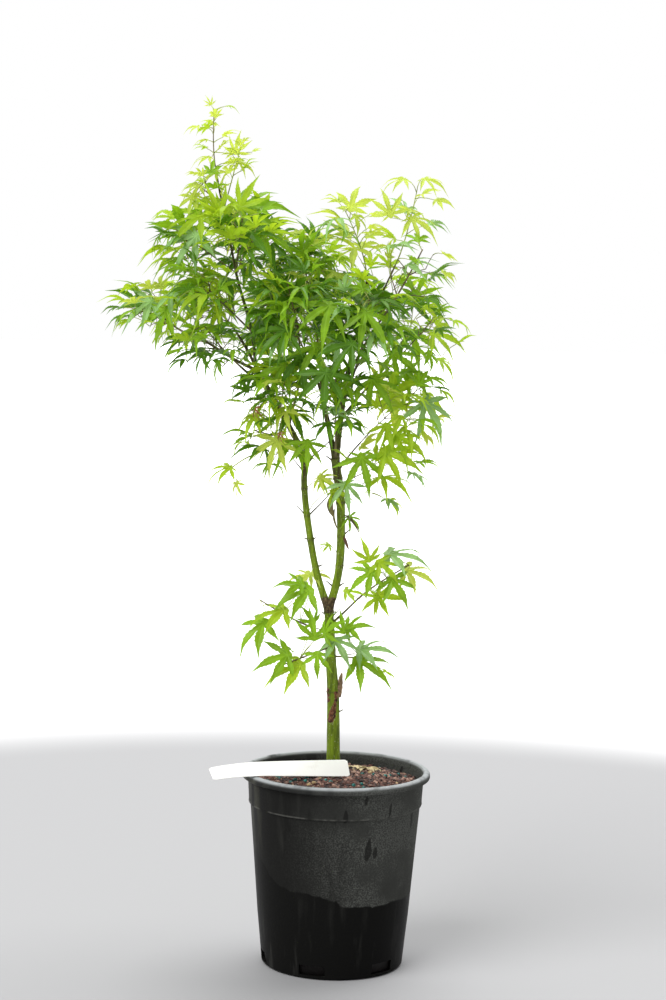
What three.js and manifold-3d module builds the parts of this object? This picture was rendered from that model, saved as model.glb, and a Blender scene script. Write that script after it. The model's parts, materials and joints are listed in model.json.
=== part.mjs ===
// A young Japanese maple growing in a round black nursery pot.
// Millimetres and degrees. +X is right, +Y is away from the viewer, +Z is up.
// The origin is the middle of the flat underside of the pot.
// A heading is a direction in plan: 0 is right, 90 is away, 180 is left.
import * as THREE from "three";
import { mergeVertices } from "three/addons/utils/BufferGeometryUtils.js";
import Module from "manifold-3d";

const wasm = await Module();
wasm.setup();

// Driving sizes of the pot, the potting mix and the label.

const CLEAR = 0.3; // gap between pieces that touch
const FINEST = 0.01; // detail smaller than this is dropped

const POT = {
  height: 180,
  rimRadius: 85,
  footRadius: 64,
  footEdge: 2, // the turn of the wall into the underside
  wall: 1.9,
  floor: 3,
  mouth: 0.8, // how much the inside widens at the rim
  lipHeight: 6.5, // the rolled edge round the top
  lipReach: 4.2, // how far it stands out from the collar
  collarDrop: 30, // from the rim down to the step under the collar
  taper: 1.6, // of the collar, from the lip to the step
  step: 1.1,
  stepHeight: 0.6,
  waistHeight: 47, // where the wall starts to turn in towards the foot
  waistRadius: 69.6,
  sides: 40,
};
const LIP = [
  // out from the rim's radius, up from the lip's foot
  [-POT.lipReach, -0.5],
  [-0.9, 0],
  [0, 2],
  [-2.3, POT.lipHeight],
];
const DRAIN = { count: 6, width: 24, depth: 12, bottom: 3.4, top: 13, firstHeading: 254 };
const MIX = {
  edgeDrop: 12, // from the rim to the mix at the wall
  moundDrop: 6, // from the rim to the flat pad round the trunk
  padRadius: 21,
  rings: 3, // between the wall and the pad
  lump: 0.7, // height of the lumps
  lumpWidths: [4.1, 3.7],
};
const LABEL = {
  width: 16,
  thickness: 0.9,
  overhang: 42, // the length that stands out past the rim
  rimHeading: 211, // where it crosses the rim
  rimInset: 2.6, // of that place, from the rim's edge
  foot: [13, -8.2], // its inner end, standing on the mix
  leanInner: 30, // lean back from upright at the inner end
  leanOuter: 60,
  steps: 8,
};
const LABEL_CORNERS = [
  // of its section, as shares of the width and the thickness
  [0, -0.5],
  [0, 0.5],
  [1, 0.5],
  [1, -0.5],
];

// The skeleton. A limb starts on its parent's line, at a share of its length, and
// runs in legs of [rise, run, heading]. Radii are at its foot and its tip.

const CROWN = { axis: [-25, 6], radius: 60 };
const TRUNK_FOOT = [-2.3, 8];
const TRUNK_FLARE = { extra: 0.5, fade: 9 };
const PLAIN_LIMB = { steps: 2, sides: 5 }; // pieces per leg, and sides round it
const LIMBS = [
  {
    name: "trunk",
    radii: [6.4, 4.2],
    steps: 4,
    sides: 12,
    legs: [
      [68.7, 2, 209],
      [36, 2.7, 180],
      [50, 3.5, 164],
    ],
  },
  {
    name: "left_stem",
    parent: "trunk",
    at: 0.97,
    radii: [3.3, 2.4],
    legs: [
      [40.5, 13.4, 171],
      [44, 8.5, 165],
      [35, 4, 166],
      [21, 1.4, 48],
      [20, 11.3, 170],
      [37, 22.6, 167],
      [24, 16, 162],
    ],
  },
  {
    name: "right_stem",
    parent: "trunk",
    at: 0.97,
    radii: [3.5, 4.1],
    legs: [
      [40.5, 8.9, 342],
      [56, 2, 281],
      [45, 6.6, 198],
    ],
  },
  {
    name: "right_bough",
    parent: "right_stem",
    at: 0.98,
    radii: [3.1, 1.3],
    legs: [
      [45, 5, 336],
      [27, 3.4, 17],
      [27, 6, 19],
      [47, 12, 19],
      [23, 2, 104],
    ],
  },
  {
    name: "centre_bough",
    parent: "right_stem",
    at: 0.98,
    radii: [2.8, 1.4],
    legs: [
      [53, 14.7, 142],
      [41, 13, 114],
    ],
  },
  {
    name: "leader",
    parent: "left_stem",
    at: 0.99,
    radii: [2.1, 0.9],
    legs: [
      [34, 4.8, 204],
      [46, 14, 197],
      [18.5, 4.5, 207],
      [54, 12.7, 198],
      [29, 6, 198],
    ],
  },
  {
    name: "left_bough",
    parent: "left_stem",
    at: 0.98,
    radii: [1.6, 1],
    legs: [
      [10, 22.4, 207],
      [16, 28, 201],
      [7, 17, 194],
    ],
  },
  {
    name: "left_low_bough",
    parent: "left_stem",
    at: 0.886,
    radii: [1.5, 1],
    legs: [
      [9, 14, 206],
      [10, 14, 216],
    ],
  },
  {
    name: "left_back_bough",
    parent: "left_stem",
    at: 0.96,
    radii: [1.6, 1],
    legs: [
      [20, 14, 140],
      [18, 14, 148],
    ],
  },
  {
    name: "centre_front_bough",
    parent: "left_stem",
    at: 0.75,
    radii: [1.5, 1],
    legs: [
      [20, 12, 292],
      [18, 14, 287],
    ],
  },
  {
    name: "centre_back_bough",
    parent: "centre_bough",
    at: 0.5,
    radii: [1.4, 1],
    legs: [
      [18, 16, 114],
      [16, 15, 121],
    ],
  },
  {
    name: "upper_right_bough",
    parent: "right_bough",
    at: 0.62,
    radii: [1.4, 0.9],
    legs: [
      [52, 27, 21],
      [24, 12, 24],
    ],
  },
  {
    name: "right_outer_bough",
    parent: "right_bough",
    at: 0.44,
    radii: [1.4, 0.9],
    legs: [
      [36, 20, 346],
      [24, 16, 342],
    ],
  },
  {
    name: "right_back_bough",
    parent: "right_bough",
    at: 0.3,
    radii: [1.4, 1],
    legs: [
      [24, 18, 55],
      [18, 18, 51],
    ],
  },
  {
    name: "right_side_bough",
    parent: "right_bough",
    at: 0.17,
    radii: [1.4, 1],
    legs: [
      [24, 20, 348],
      [14, 14, 355],
    ],
  },
  {
    name: "right_front_bough",
    parent: "right_bough",
    at: 0.24,
    radii: [1.4, 1],
    legs: [
      [20, 14, 298],
      [16, 13, 292],
    ],
  },
  {
    name: "right_lower_bough",
    parent: "right_stem",
    at: 0.9,
    radii: [1.4, 1],
    legs: [
      [16, 11, 344],
      [14, 12, 340],
    ],
  },
  {
    name: "hanging_twig",
    parent: "left_stem",
    at: 0.6,
    radii: [1, 0.7],
    legs: [
      [6, 22, 196],
      [-8, 26, 190],
    ],
  },
  {
    name: "low_right_bough",
    parent: "trunk",
    at: 0.887,
    radii: [1.5, 0.9],
    legs: [
      [14, 15, 334],
      [13, 14, 328],
    ],
  },
  {
    name: "low_left_bough",
    parent: "trunk",
    at: 0.85,
    radii: [1.3, 0.9],
    legs: [[4, 14, 201]],
  },
];

// The snag left on the trunk where the graft was cut back.
const SNAG = { at: 0.415, out: 3.4, radii: [2.3, 1.5], rise: 19, run: 3.4, heading: 350, sides: 6 };

// The masses of foliage. Each grows from the tip of its limb, or from its side where
// a share of the limb's length is given, and fills the space round its middle. Reach
// is the half width, half depth and half height of that space; leaf is the range of
// the blades' lengths.

const MASSES = [
  // name, limb, share of its length, middle, reach, leaf
  ["leader_top", "leader", null, [-122, 3, 759], [23, 24, 33], [14, 24]],
  ["leader_spur", "leader", 0.76, [-102, 8, 730], [21, 22, 25], [15, 24]],
  ["leader_left", "leader", 0.72, [-123, -6, 700], [26, 28, 32], [20, 30]],
  ["leader_front", "leader", 0.5, [-96, -25, 664], [50, 50, 43], [36, 52]],
  ["leader_west", "leader", 0.47, [-145, 0, 662], [38, 46, 38], [34, 50]],
  ["leader_back", "leader", 0.45, [-94, 45, 654], [52, 48, 46], [34, 48]],
  ["left_upper", "leader", 0.2, [-122, -30, 615], [54, 50, 40], [36, 50]],
  ["left_back", "left_back_bough", null, [-136, 50, 605], [52, 50, 42], [36, 48]],
  ["left_tip", "left_bough", null, [-172, -5, 600], [46, 50, 29], [32, 46]],
  ["left_lower", "left_low_bough", null, [-117, -35, 574], [50, 50, 34], [34, 46]],
  ["centre_top", "centre_bough", null, [-38, 15, 630], [56, 54, 52], [36, 50]],
  ["centre_front", "centre_front_bough", null, [-50, -46, 600], [56, 52, 52], [38, 52]],
  ["centre_back", "centre_back_bough", null, [-50, 65, 588], [60, 54, 54], [36, 52]],
  ["centre_low", "left_stem", 0.8, [-55, -35, 527], [52, 54, 44], [36, 50]],
  ["left_hanging", "left_stem", 0.68, [-62, 0, 485], [45, 48, 36], [32, 44]],
  ["right_top", "right_bough", null, [3, -2, 671], [38, 46, 43], [28, 42]],
  ["upper_right", "upper_right_bough", null, [56, 12, 689], [39, 48, 34], [30, 42]],
  ["right_outer", "right_outer_bough", null, [56, -28, 637], [43, 50, 40], [32, 46]],
  ["right_front", "right_front_bough", null, [16, -58, 590], [54, 52, 54], [38, 52]],
  ["middle_front", "right_stem", 0.97, [-8, -46, 524], [42, 44, 44], [34, 48]],
  ["right_back", "right_back_bough", null, [38, 50, 598], [56, 54, 58], [36, 50]],
  ["right_tip", "right_side_bough", null, [64, -16, 579], [49, 54, 39], [34, 48]],
  ["right_lower", "right_lower_bough", null, [50, -22, 516], [51, 54, 46], [36, 50]],
  ["right_hanging", "right_stem", 0.82, [35, -14, 462], [50, 50, 42], [36, 50]],
  ["low_right", "low_right_bough", null, [46, -18, 361], [48, 44, 28], [30, 42]],
  ["low_left", "low_left_bough", null, [-52, -8, 326], [48, 46, 38], [30, 44]],
  ["low_front_left", "trunk", 0.76, [-38, -22, 284], [42, 42, 34], [30, 42]],
  ["low_front_right", "trunk", 0.7, [24, -24, 287], [36, 42, 34], [30, 42]],
  ["lone_sprig", "hanging_twig", null, [-112, -8, 442], [24, 22, 30], [22, 32]],
].map(([name, limb, at, middle, reach, leaf]) => ({ name, limb, at, middle, reach, leaf }));

// The rule that every mass grows by.

const GROWTH = {
  startGap: 0.39, // from a limb's tip to the stem that grows on from it
  sleeveGap: 0.33, // cut free round every limb
  joint: 20, // stem length between one pair of side shoots and the next
  stemShare: 0.55, // how far the stem runs on past the middle of the space
  stemRadius: [1.5, 1.2],
  twigRadius: [1.1, 0.9],
  swell: 3, // from a twig's foot, a point inside the stem, to its full width
  jointInset: 1.2, // of a joint, from the bend in the stem
  turnWander: 0.3, // of the quarter turn from one pair to the next
  twigAngle: 56,
  twigMost: 32,
  twigLeast: 10,
  twigFoot: 4, // the length of a twig that may touch its limb
  twigEnd: 0.5, // kept free past its tip, as a share of the longest blade
  twigPoints: 6, // on a twig, where its way is tried
  leafAngle: 60,
  petiole: [0.125, 0.35], // as a share of the blade
  petioleRadius: 0.9, // at the blade
  petioleFoot: 0.25, // the share of a petiole that may touch its limb
  petiolePoints: 4,
  rounds: 10, // how often each place for a leaf is tried
  spacing: 20, // least distance between the middles of two blades
  border: 0.4, // half of the gap between two spaces
  limbGap: 2.4, // kept between a blade and a limb
  shrink: 0.9, // of a blade's length, at every second round
  smallest: 0.7, // a blade, as a share of the least length
  largest: 0.97, // a blade, as a share of the room it has
  wander: 0.15, // of a leaf from its place's direction, in the first round
  wanderMore: 0.12, // what each round adds to that
  spread: 0.4, // how far a blade turns outwards
  sag: 0.9, // how far it may turn down
  tilt: 0.3, // of its face, to any side
  facing: 1.2, // how far its face turns outwards
};
const BLADE = {
  lobes: [0, 40, 80], // angles of the lobes from the midrib, on each side
  lengths: [1, 0.92, 0.72],
  sinus: 0.42,
  palm: 0.12, // where the lobes meet, from the petiole
  thickness: 1.7, // at the palm, fading to the edge
  droop: 0.16,
};

const radians = THREE.MathUtils.degToRad;
const lerp = THREE.MathUtils.lerp;
const vector = (x, y, z) => new THREE.Vector3(x, y, z);
const along = (point, direction, length) => point.clone().addScaledVector(direction, length);
const inPlan = (heading) => vector(Math.cos(radians(heading)), Math.sin(radians(heading)), 0);

// A repeatable stream of numbers from 0 to 1.
function seededDraw(seed) {
  let state = seed >>> 0;
  return () => {
    state = (state + 0x6d2b79f5) >>> 0;
    let t = Math.imul(state ^ (state >>> 15), 1 | state);
    t = (t + Math.imul(t ^ (t >>> 7), 61 | t)) ^ t;
    return ((t ^ (t >>> 14)) >>> 0) / 4294967296;
  };
}

// Turning geometry into solids and back.

function solidOf(geometry) {
  const bare = new THREE.BufferGeometry().setAttribute("position", geometry.getAttribute("position"));
  if (geometry.index) bare.setIndex(geometry.index);
  const merged = mergeVertices(bare, 1e-4);
  return new wasm.Manifold(
    new wasm.Mesh({
      numProp: 3,
      vertProperties: new Float32Array(merged.attributes.position.array),
      triVerts: new Uint32Array(merged.index.array),
    }),
  );
}

function geometryOf(solid) {
  const mesh = solid.getMesh();
  return new THREE.BufferGeometry()
    .setAttribute("position", new THREE.BufferAttribute(new Float32Array(mesh.vertProperties), 3))
    .setIndex(new THREE.BufferAttribute(new Uint32Array(mesh.triVerts), 1));
}

function meshFrom(points, faces) {
  return new THREE.BufferGeometry()
    .setAttribute("position", new THREE.Float32BufferAttribute(points.flatMap((p) => [p.x, p.y, p.z]), 3))
    .setIndex(faces.flat());
}

// A tube round a line of points, with one radius at each point and closed ends. A
// foot with no radius is a point.
function tube(points, radii, sides) {
  const pointed = radii[0] === 0;
  const last = points.length - 1;
  const rings = [];
  let side = vector(0.31, 0.95, 0);
  for (let i = pointed ? 1 : 0; i <= last; i++) {
    const ahead = points[Math.min(i + 1, last)].clone().sub(points[Math.max(i - 1, 0)]).normalize();
    side = along(side, ahead, -side.dot(ahead)).normalize();
    const up = ahead.clone().cross(side);
    for (let turn = 0; turn < sides; turn++) {
      const angle = (2 * Math.PI * turn) / sides;
      const across = along(points[i], side, radii[i] * Math.cos(angle));
      rings.push(along(across, up, radii[i] * Math.sin(angle)));
    }
  }
  const faces = [];
  const top = rings.length - sides;
  for (let a = 0; a < top; a++) {
    const b = a % sides === sides - 1 ? a + 1 - sides : a + 1;
    faces.push([a, b, b + sides], [a, b + sides, a + sides]);
  }
  for (let k = 1; k < sides - 1; k++) {
    faces.push([top, top + k, top + k + 1]);
    if (!pointed) faces.push([0, k + 1, k]);
  }
  if (pointed) {
    rings.push(points[0]);
    for (let k = 0; k < sides; k++) faces.push([rings.length - 1, (k + 1) % sides, k]);
  }
  return meshFrom(rings, faces);
}

// Limbs.

function growLimb(limb, limbs) {
  const start = limb.parent
    ? limbs.get(limb.parent).curve.getPoint(limb.at)
    : vector(...TRUNK_FOOT, POT.height - MIX.moundDrop + CLEAR);
  const joints = [start];
  for (const [rise, run, heading] of limb.legs) {
    joints.push(along(joints.at(-1), inPlan(heading), run).add(vector(0, 0, rise)));
  }
  if (joints.length === 2) joints.splice(1, 0, start.clone().lerp(joints[1], 0.5));
  const curve = new THREE.CatmullRomCurve3(joints, false, "catmullrom", 0.5);
  const { steps, sides } = { ...PLAIN_LIMB, ...limb };
  const count = steps * (joints.length - 1);
  const points = curve.getPoints(count);
  const flare = limb.parent ? 0 : TRUNK_FLARE.extra;
  const radii = points.map((point, i) => {
    const foot = flare * Math.exp((start.z - point.z) / TRUNK_FLARE.fade);
    return lerp(...limb.radii, i / count) + foot;
  });
  const box = new THREE.Box3().setFromPoints(points).expandByScalar(Math.max(...radii) + GROWTH.limbGap);
  return { ...limb, curve, points, radii, box, sides };
}

// The room that a limb and the gap round it take up.
function sleeve(limb) {
  const { points, radii, sides } = limb;
  const out = points.at(-1).clone().sub(points.at(-2)).normalize();
  const grown = [...points, along(points.at(-1), out, CLEAR)];
  const wide = [...radii, radii.at(-1)].map((radius) => radius + GROWTH.sleeveGap);
  return solidOf(tube(grown, wide, sides));
}

function largestPiece(solid) {
  const pieces = solid.decompose();
  return pieces.reduce((best, piece) => (piece.volume() > best.volume() ? piece : best));
}

function buildLimbs() {
  const limbs = new Map();
  for (const limb of LIMBS) limbs.set(limb.name, growLimb(limb, limbs));
  const taken = [];
  for (const limb of limbs.values()) {
    let solid = solidOf(tube(limb.points, limb.radii, limb.sides));
    for (const other of taken) solid = solid.subtract(other);
    limb.solid = largestPiece(solid.simplify(FINEST));
    limb.sleeve = sleeve(limb);
    taken.push(limb.sleeve);
  }
  return limbs;
}

function withSnag(trunk) {
  const start = along(trunk.curve.getPoint(SNAG.at), inPlan(SNAG.heading), SNAG.out);
  const end = along(start, inPlan(SNAG.heading), SNAG.run).add(vector(0, 0, SNAG.rise));
  return trunk.solid.add(solidOf(tube([start, end], SNAG.radii, SNAG.sides)));
}

// The space that one mass keeps to: an ellipsoid round its middle, cut by the plane
// between it and each neighbour. Every such space is convex.
function spaceOf(mass) {
  const middle = vector(...mass.middle);
  const reach = vector(...mass.reach);
  const weight = (m) => (m.reach[0] * m.reach[1] * m.reach[2]) ** (2 / 3);
  const planes = MASSES.filter((other) => other !== mass).map((other) => {
    const between = vector(...other.middle).sub(middle);
    const apart = between.length();
    const split = (apart * apart + weight(mass) - weight(other)) / (2 * apart);
    return { normal: between.divideScalar(apart), offset: split - GROWTH.border };
  });
  const box = new THREE.Box3(middle.clone().sub(reach), middle.clone().add(reach));
  return { middle, reach, planes, box };
}

const holds = (space, point) => {
  const from = point.clone().sub(space.middle);
  return (
    from.clone().divide(space.reach).lengthSq() <= 1 &&
    space.planes.every((plane) => from.dot(plane.normal) <= plane.offset)
  );
};

// The distance from a point inside a space to its border, in one direction.
function roomAhead(space, point, direction) {
  const from = point.clone().sub(space.middle).divide(space.reach);
  const step = direction.clone().divide(space.reach);
  const a = step.lengthSq();
  const b = from.dot(step);
  const c = from.lengthSq() - 1;
  const root = b * b - a * c;
  let room = root > 0 ? (Math.sqrt(root) - b) / a : 0;
  const away = point.clone().sub(space.middle);
  for (const plane of space.planes) {
    const speed = direction.dot(plane.normal);
    if (speed > 1e-6) room = Math.min(room, (plane.offset - away.dot(plane.normal)) / speed);
  }
  return room;
}

// The least distance from a point to a limb's surface.
const stretch = new THREE.Line3();
const nearest = new THREE.Vector3();
function distanceToLimb(point, limb) {
  let least = Infinity;
  for (let i = 1; i < limb.points.length; i++) {
    stretch.set(limb.points[i - 1], limb.points[i]).closestPointToPoint(point, true, nearest);
    least = Math.min(least, point.distanceTo(nearest) - limb.radii[i - 1]);
  }
  return least;
}

function pointsBetween(from, to, count) {
  return Array.from({ length: count }, (_, i) => from.clone().lerp(to, (i + 1) / count));
}

// One leaf: a petiole that ends in a blade of pointed lobes round a palm.
function leafShape(root, base, midrib, face, size) {
  const side = face.clone().cross(midrib);
  const palm = along(base, midrib, BLADE.palm * size);
  const lobePoint = (angle, length) => {
    const reach = length * size * (1 - BLADE.palm);
    const ahead = along(palm, midrib, reach * Math.cos(radians(angle)));
    const level = along(ahead, side, reach * Math.sin(radians(angle)));
    return along(level, face, -BLADE.droop * length * reach);
  };
  const angles = [...BLADE.lobes.slice(1).reverse().map((angle) => -angle), ...BLADE.lobes];
  const edge = [];
  angles.forEach((angle, i) => {
    if (i > 0) edge.push(lobePoint((angle + angles[i - 1]) / 2, BLADE.sinus));
    edge.push(lobePoint(angle, BLADE.lengths[BLADE.lobes.indexOf(Math.abs(angle))]));
  });
  return { root, base, palm, side, face, edge, size };
}

// Its petiole widens from a point inside the shoot to the foot of the blade.
function leafSolid({ root, base, palm, side, face, edge }) {
  const half = BLADE.thickness / 2;
  const points = [
    root,
    along(palm, face, half),
    along(palm, face, -half),
    along(base, side, -GROWTH.petioleRadius),
    along(base, side, GROWTH.petioleRadius),
    ...edge,
  ];
  const [ROOT, TOP, LOW, LEFT, RIGHT, FIRST] = [0, 1, 2, 3, 4, 5];
  const LAST = FIRST + edge.length - 1;
  const faces = [
    [ROOT, LEFT, RIGHT],
    [ROOT, RIGHT, LOW],
    [ROOT, LOW, LEFT],
    [TOP, RIGHT, LEFT],
    [TOP, LEFT, FIRST],
    [LOW, FIRST, LEFT],
    [TOP, LAST, RIGHT],
    [LOW, RIGHT, LAST],
  ];
  for (let i = FIRST; i < LAST; i++) {
    faces.push([TOP, i, i + 1], [LOW, i + 1, i]);
  }
  return solidOf(meshFrom(points, faces));
}

// Points on a blade so close together that no limb passes between them.
function bladePoints(leaf) {
  const lobe = (tip) => [0.25, 0.5, 0.75, 1].map((share) => leaf.palm.clone().lerp(tip, share));
  return [leaf.base, leaf.palm, ...leaf.edge.flatMap(lobe)];
}

// The flat triangles of a blade, and the lines that could pierce another one.
const fanOf = ({ base, palm, edge }) => {
  const rim = [base, ...edge, base];
  return rim.slice(1).map((point, i) => [palm, rim[i], point]);
};
const linesOf = ({ root, base, palm, edge }) => [
  [root, base],
  [palm, base],
  ...edge.map((tip) => [palm, tip]),
  ...edge.slice(1).map((tip, i) => [edge[i], tip]),
];

const ray = new THREE.Ray();
const hit = new THREE.Vector3();
function pierces([from, to], fan) {
  ray.origin.copy(from);
  ray.direction.copy(to).sub(from).normalize();
  const length = from.distanceTo(to);
  return fan.some((face) => ray.intersectTriangle(...face, false, hit) && hit.distanceTo(from) < length);
}

function blocks(one, other) {
  if (one.palm.distanceTo(other.palm) > one.size + other.size) return false;
  return (
    linesOf(one).some((line) => pierces(line, fanOf(other))) ||
    linesOf(other).some((line) => pierces(line, fanOf(one)))
  );
}

// Two directions square to a shoot.
function acrossOf(ahead) {
  const u = vector(0, 0, 1).cross(ahead);
  if (u.lengthSq() < 0.01) u.set(1, 0, 0).addScaledVector(ahead, -ahead.x);
  u.normalize();
  return [u, ahead.clone().cross(u)];
}

// The two opposite directions that a pair of shoots takes.
function pairOf(ahead, turn, lean) {
  const [u, v] = acrossOf(ahead);
  return [0, Math.PI].map((half) => {
    const across = along(u.clone().multiplyScalar(Math.cos(turn + half)), v, Math.sin(turn + half));
    return along(ahead.clone().multiplyScalar(Math.cos(radians(lean))), across, Math.sin(radians(lean)));
  });
}

// The stem of a mass, from its limb through the middle of the space.
function growStem(mass, limbs) {
  const space = spaceOf(mass);
  const limb = limbs.get(mass.limb);
  const fromTip = mass.at === null;
  const foot = fromTip ? limb.points.at(-1) : limb.curve.getPoint(mass.at);
  const toMiddle = space.middle.clone().sub(foot).normalize();
  const leaving = fromTip ? foot.clone().sub(limb.points.at(-2)).normalize() : toMiddle;
  const start = fromTip ? along(foot, leaving, GROWTH.startGap) : foot;
  const end = along(space.middle, toMiddle, roomAhead(space, space.middle, toMiddle) * GROWTH.stemShare);
  const bend = along(start, leaving, start.distanceTo(end) / 3);
  const curve = new THREE.QuadraticBezierCurve3(start, bend, end);
  const joints = Math.max(2, Math.round(curve.getLength() / GROWTH.joint));
  const points = curve.getPoints(joints);
  const radii = points.map((_, i) => lerp(...GROWTH.stemRadius, i / joints));
  const box = new THREE.Box3().setFromPoints(points).expandByScalar(radii[0] + GROWTH.limbGap);
  const stem = { mass, space, points, radii, box, sides: 3 };
  return { ...stem, sleeve: sleeve(stem) };
}

// The shoots of a mass: its stem, and opposite pairs of twigs, each pair turned from
// the last. They offer places for leaves: pairs along the shoots and one at each end.
function growShoots({ mass, space, points: stem, radii }, clearOf, between) {
  const joints = stem.length - 1;
  const shoots = [{ points: stem, radii }];
  const places = [];
  let turn = between(0, Math.PI);

  const offer = (point, direction) => {
    if (holds(space, point)) places.push({ point, direction });
  };
  const growTwig = (point, direction) => {
    const room = roomAhead(space, point, direction) - GROWTH.twigEnd * mass.leaf[1];
    const length = Math.min(GROWTH.twigMost, room);
    const tip = along(point, direction, length);
    const line = pointsBetween(along(point, direction, GROWTH.twigFoot), tip, GROWTH.twigPoints);
    const free = line.every((p) => holds(space, p)) && clearOf(line, GROWTH.twigRadius[0] + CLEAR);
    if (length < GROWTH.twigLeast || !free) return offer(point, direction);
    const swell = along(point, direction, GROWTH.swell);
    shoots.push({ points: [point, swell, tip], radii: [0, ...GROWTH.twigRadius] });
    const inset = along(tip, direction, -GROWTH.jointInset);
    offer(inset, direction);
    for (const side of pairOf(direction, turn, GROWTH.leafAngle)) offer(inset, side);
    if (length > GROWTH.joint) {
      for (const side of pairOf(direction, turn + Math.PI / 2, GROWTH.leafAngle)) {
        offer(point.clone().lerp(tip, 0.5), side);
      }
    }
  };

  for (let i = 1; i <= joints; i++) {
    const ahead = stem[i].clone().sub(stem[i - 1]).normalize();
    const point = along(stem[i], ahead, -GROWTH.jointInset);
    if (i === joints) offer(point, ahead);
    if (!holds(space, point)) continue;
    turn += Math.PI / 2 + between(-GROWTH.turnWander, GROWTH.turnWander);
    for (const direction of pairOf(ahead, turn, GROWTH.twigAngle)) growTwig(point, direction);
    const half = stem[i - 1].clone().lerp(stem[i], 0.5);
    for (const direction of pairOf(ahead, turn + Math.PI / 2, GROWTH.leafAngle)) offer(half, direction);
  }
  return { shoots, places };
}

// The leaves of a mass. Each place is tried in turn, for smaller blades each round,
// until one fits: it stays in the space, off the limbs and clear of the other leaves.
function growLeaves(mass, space, shoots, places, clearOf, between) {
  const leaves = [];
  const twigs = shoots.flatMap(({ points }) => points.slice(1).map((point, i) => [points[i], point]));
  const fits = (leaf) => {
    const points = bladePoints(leaf);
    const foot = leaf.root.clone().lerp(leaf.base, GROWTH.petioleFoot);
    const stalk = pointsBetween(foot, leaf.base, GROWTH.petiolePoints);
    const apart = GROWTH.spacing * (leaf.size / mass.leaf[1]);
    return (
      leaves.every((other) => other.palm.distanceTo(leaf.palm) > apart) &&
      [...points, ...stalk].every((point) => holds(space, point)) &&
      clearOf(points, GROWTH.limbGap) &&
      clearOf(stalk, GROWTH.petioleRadius + CLEAR) &&
      !leaves.some((other) => blocks(leaf, other)) &&
      !twigs.some((line) => pierces(line, fanOf(leaf)))
    );
  };
  for (let round = 0; round < GROWTH.rounds; round++) {
    for (const place of places) {
      if (place.taken) continue;
      const wander = vector(between(-1, 1), between(-1, 1), between(-1, 1));
      const run = along(place.direction, wander, GROWTH.wander + GROWTH.wanderMore * round).normalize();
      const want = between(...mass.leaf) * GROWTH.shrink ** (round / 2);
      const base = along(place.point, run, between(...GROWTH.petiole) * want);
      const out = outward(base);
      const midrib = along(run, out, GROWTH.spread);
      midrib.z -= between(0, GROWTH.sag);
      midrib.normalize();
      const tilts = [between(-GROWTH.tilt, GROWTH.tilt), between(-GROWTH.tilt, GROWTH.tilt)];
      const face = along(vector(...tilts, 1), out, GROWTH.facing);
      face.addScaledVector(midrib, -face.dot(midrib)).normalize();
      const size = Math.min(want, roomAhead(space, base, midrib) * GROWTH.largest);
      if (size < GROWTH.smallest * mass.leaf[0]) continue;
      const leaf = leafShape(place.point, base, midrib, face, size);
      if (!fits(leaf)) continue;
      leaves.push(leaf);
      place.taken = true;
    }
  }
  return leaves;
}

// Away from the middle of the crown, in plan.
function outward(point) {
  const [x, y] = CROWN.axis;
  return vector(point.x - x, point.y - y, 0).divideScalar(CROWN.radius).clampLength(0, 1);
}

// Everything that a mass keeps clear of: the limbs, and the stems of the others.
function growMass(stem, limbs, stems) {
  const { mass, space } = stem;
  const seed = [...mass.name].reduce((sum, letter) => (sum * 31 + letter.charCodeAt(0)) >>> 0, 7);
  const draw = seededDraw(seed);
  const between = (low, high) => lerp(low, high, draw());
  const reached = space.box.clone().union(stem.box);
  const others = stems.filter((other) => other !== stem);
  const nearby = [...limbs.values(), ...others].filter((limb) => limb.box.intersectsBox(reached));
  const clear = (point, gap) => nearby.every((limb) => distanceToLimb(point, limb) > gap);
  const clearOf = (points, gap) => points.every((point) => clear(point, gap));
  const { shoots, places } = growShoots(stem, clearOf, between);
  return { shoots, leaves: growLeaves(mass, space, shoots, places, clearOf, between), nearby };
}

function massSolid(stem, limbs, stems) {
  const { shoots, leaves, nearby } = growMass(stem, limbs, stems);
  const solids = shoots.map((shoot) => solidOf(tube(shoot.points, shoot.radii, 3)));
  solids.push(...leaves.map(leafSolid));
  let solid = wasm.Manifold.union(solids);
  for (const limb of nearby) solid = solid.subtract(limb.sleeve);
  return largestPiece(solid.simplify(FINEST));
}

// The pot: a turned wall with a rolled lip and a collar, and drain slots at the foot.

const collarRadius = POT.rimRadius - POT.lipReach;
const wallRadius = collarRadius - POT.taper - POT.step;
const collarFoot = POT.height - POT.collarDrop;

// The inside of the wall, from the floor up, less the gap round the mix.
const MIX_WALL = [
  [POT.footRadius - POT.wall - CLEAR, POT.floor],
  [POT.waistRadius - POT.wall - CLEAR, POT.waistHeight],
  [wallRadius - POT.wall - CLEAR, collarFoot],
];

function potOutline() {
  const lipFoot = POT.height - POT.lipHeight;
  const outer = [
    [0, 0],
    [POT.footRadius - POT.footEdge, 0],
    [POT.footRadius + POT.footEdge / 2, POT.footEdge],
    [POT.waistRadius, POT.waistHeight],
    [wallRadius, collarFoot - POT.stepHeight],
    [collarRadius - POT.taper, collarFoot],
    ...LIP.map(([out, up]) => [POT.rimRadius + out, lipFoot + up]),
  ];
  const inner = [
    [collarRadius - POT.wall + POT.mouth, POT.height],
    ...MIX_WALL.map(([radius, height]) => [radius + CLEAR, height]).reverse(),
    [0, POT.floor],
  ];
  return [...outer, ...inner].map(([radius, height]) => new THREE.Vector2(radius, height));
}

const turned = (outline) => solidOf(new THREE.LatheGeometry(outline, POT.sides).rotateX(Math.PI / 2));
const facingOut = (outline) => {
  const solid = turned(outline);
  return solid.volume() > 0 ? solid : turned([...outline].reverse());
};

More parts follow.
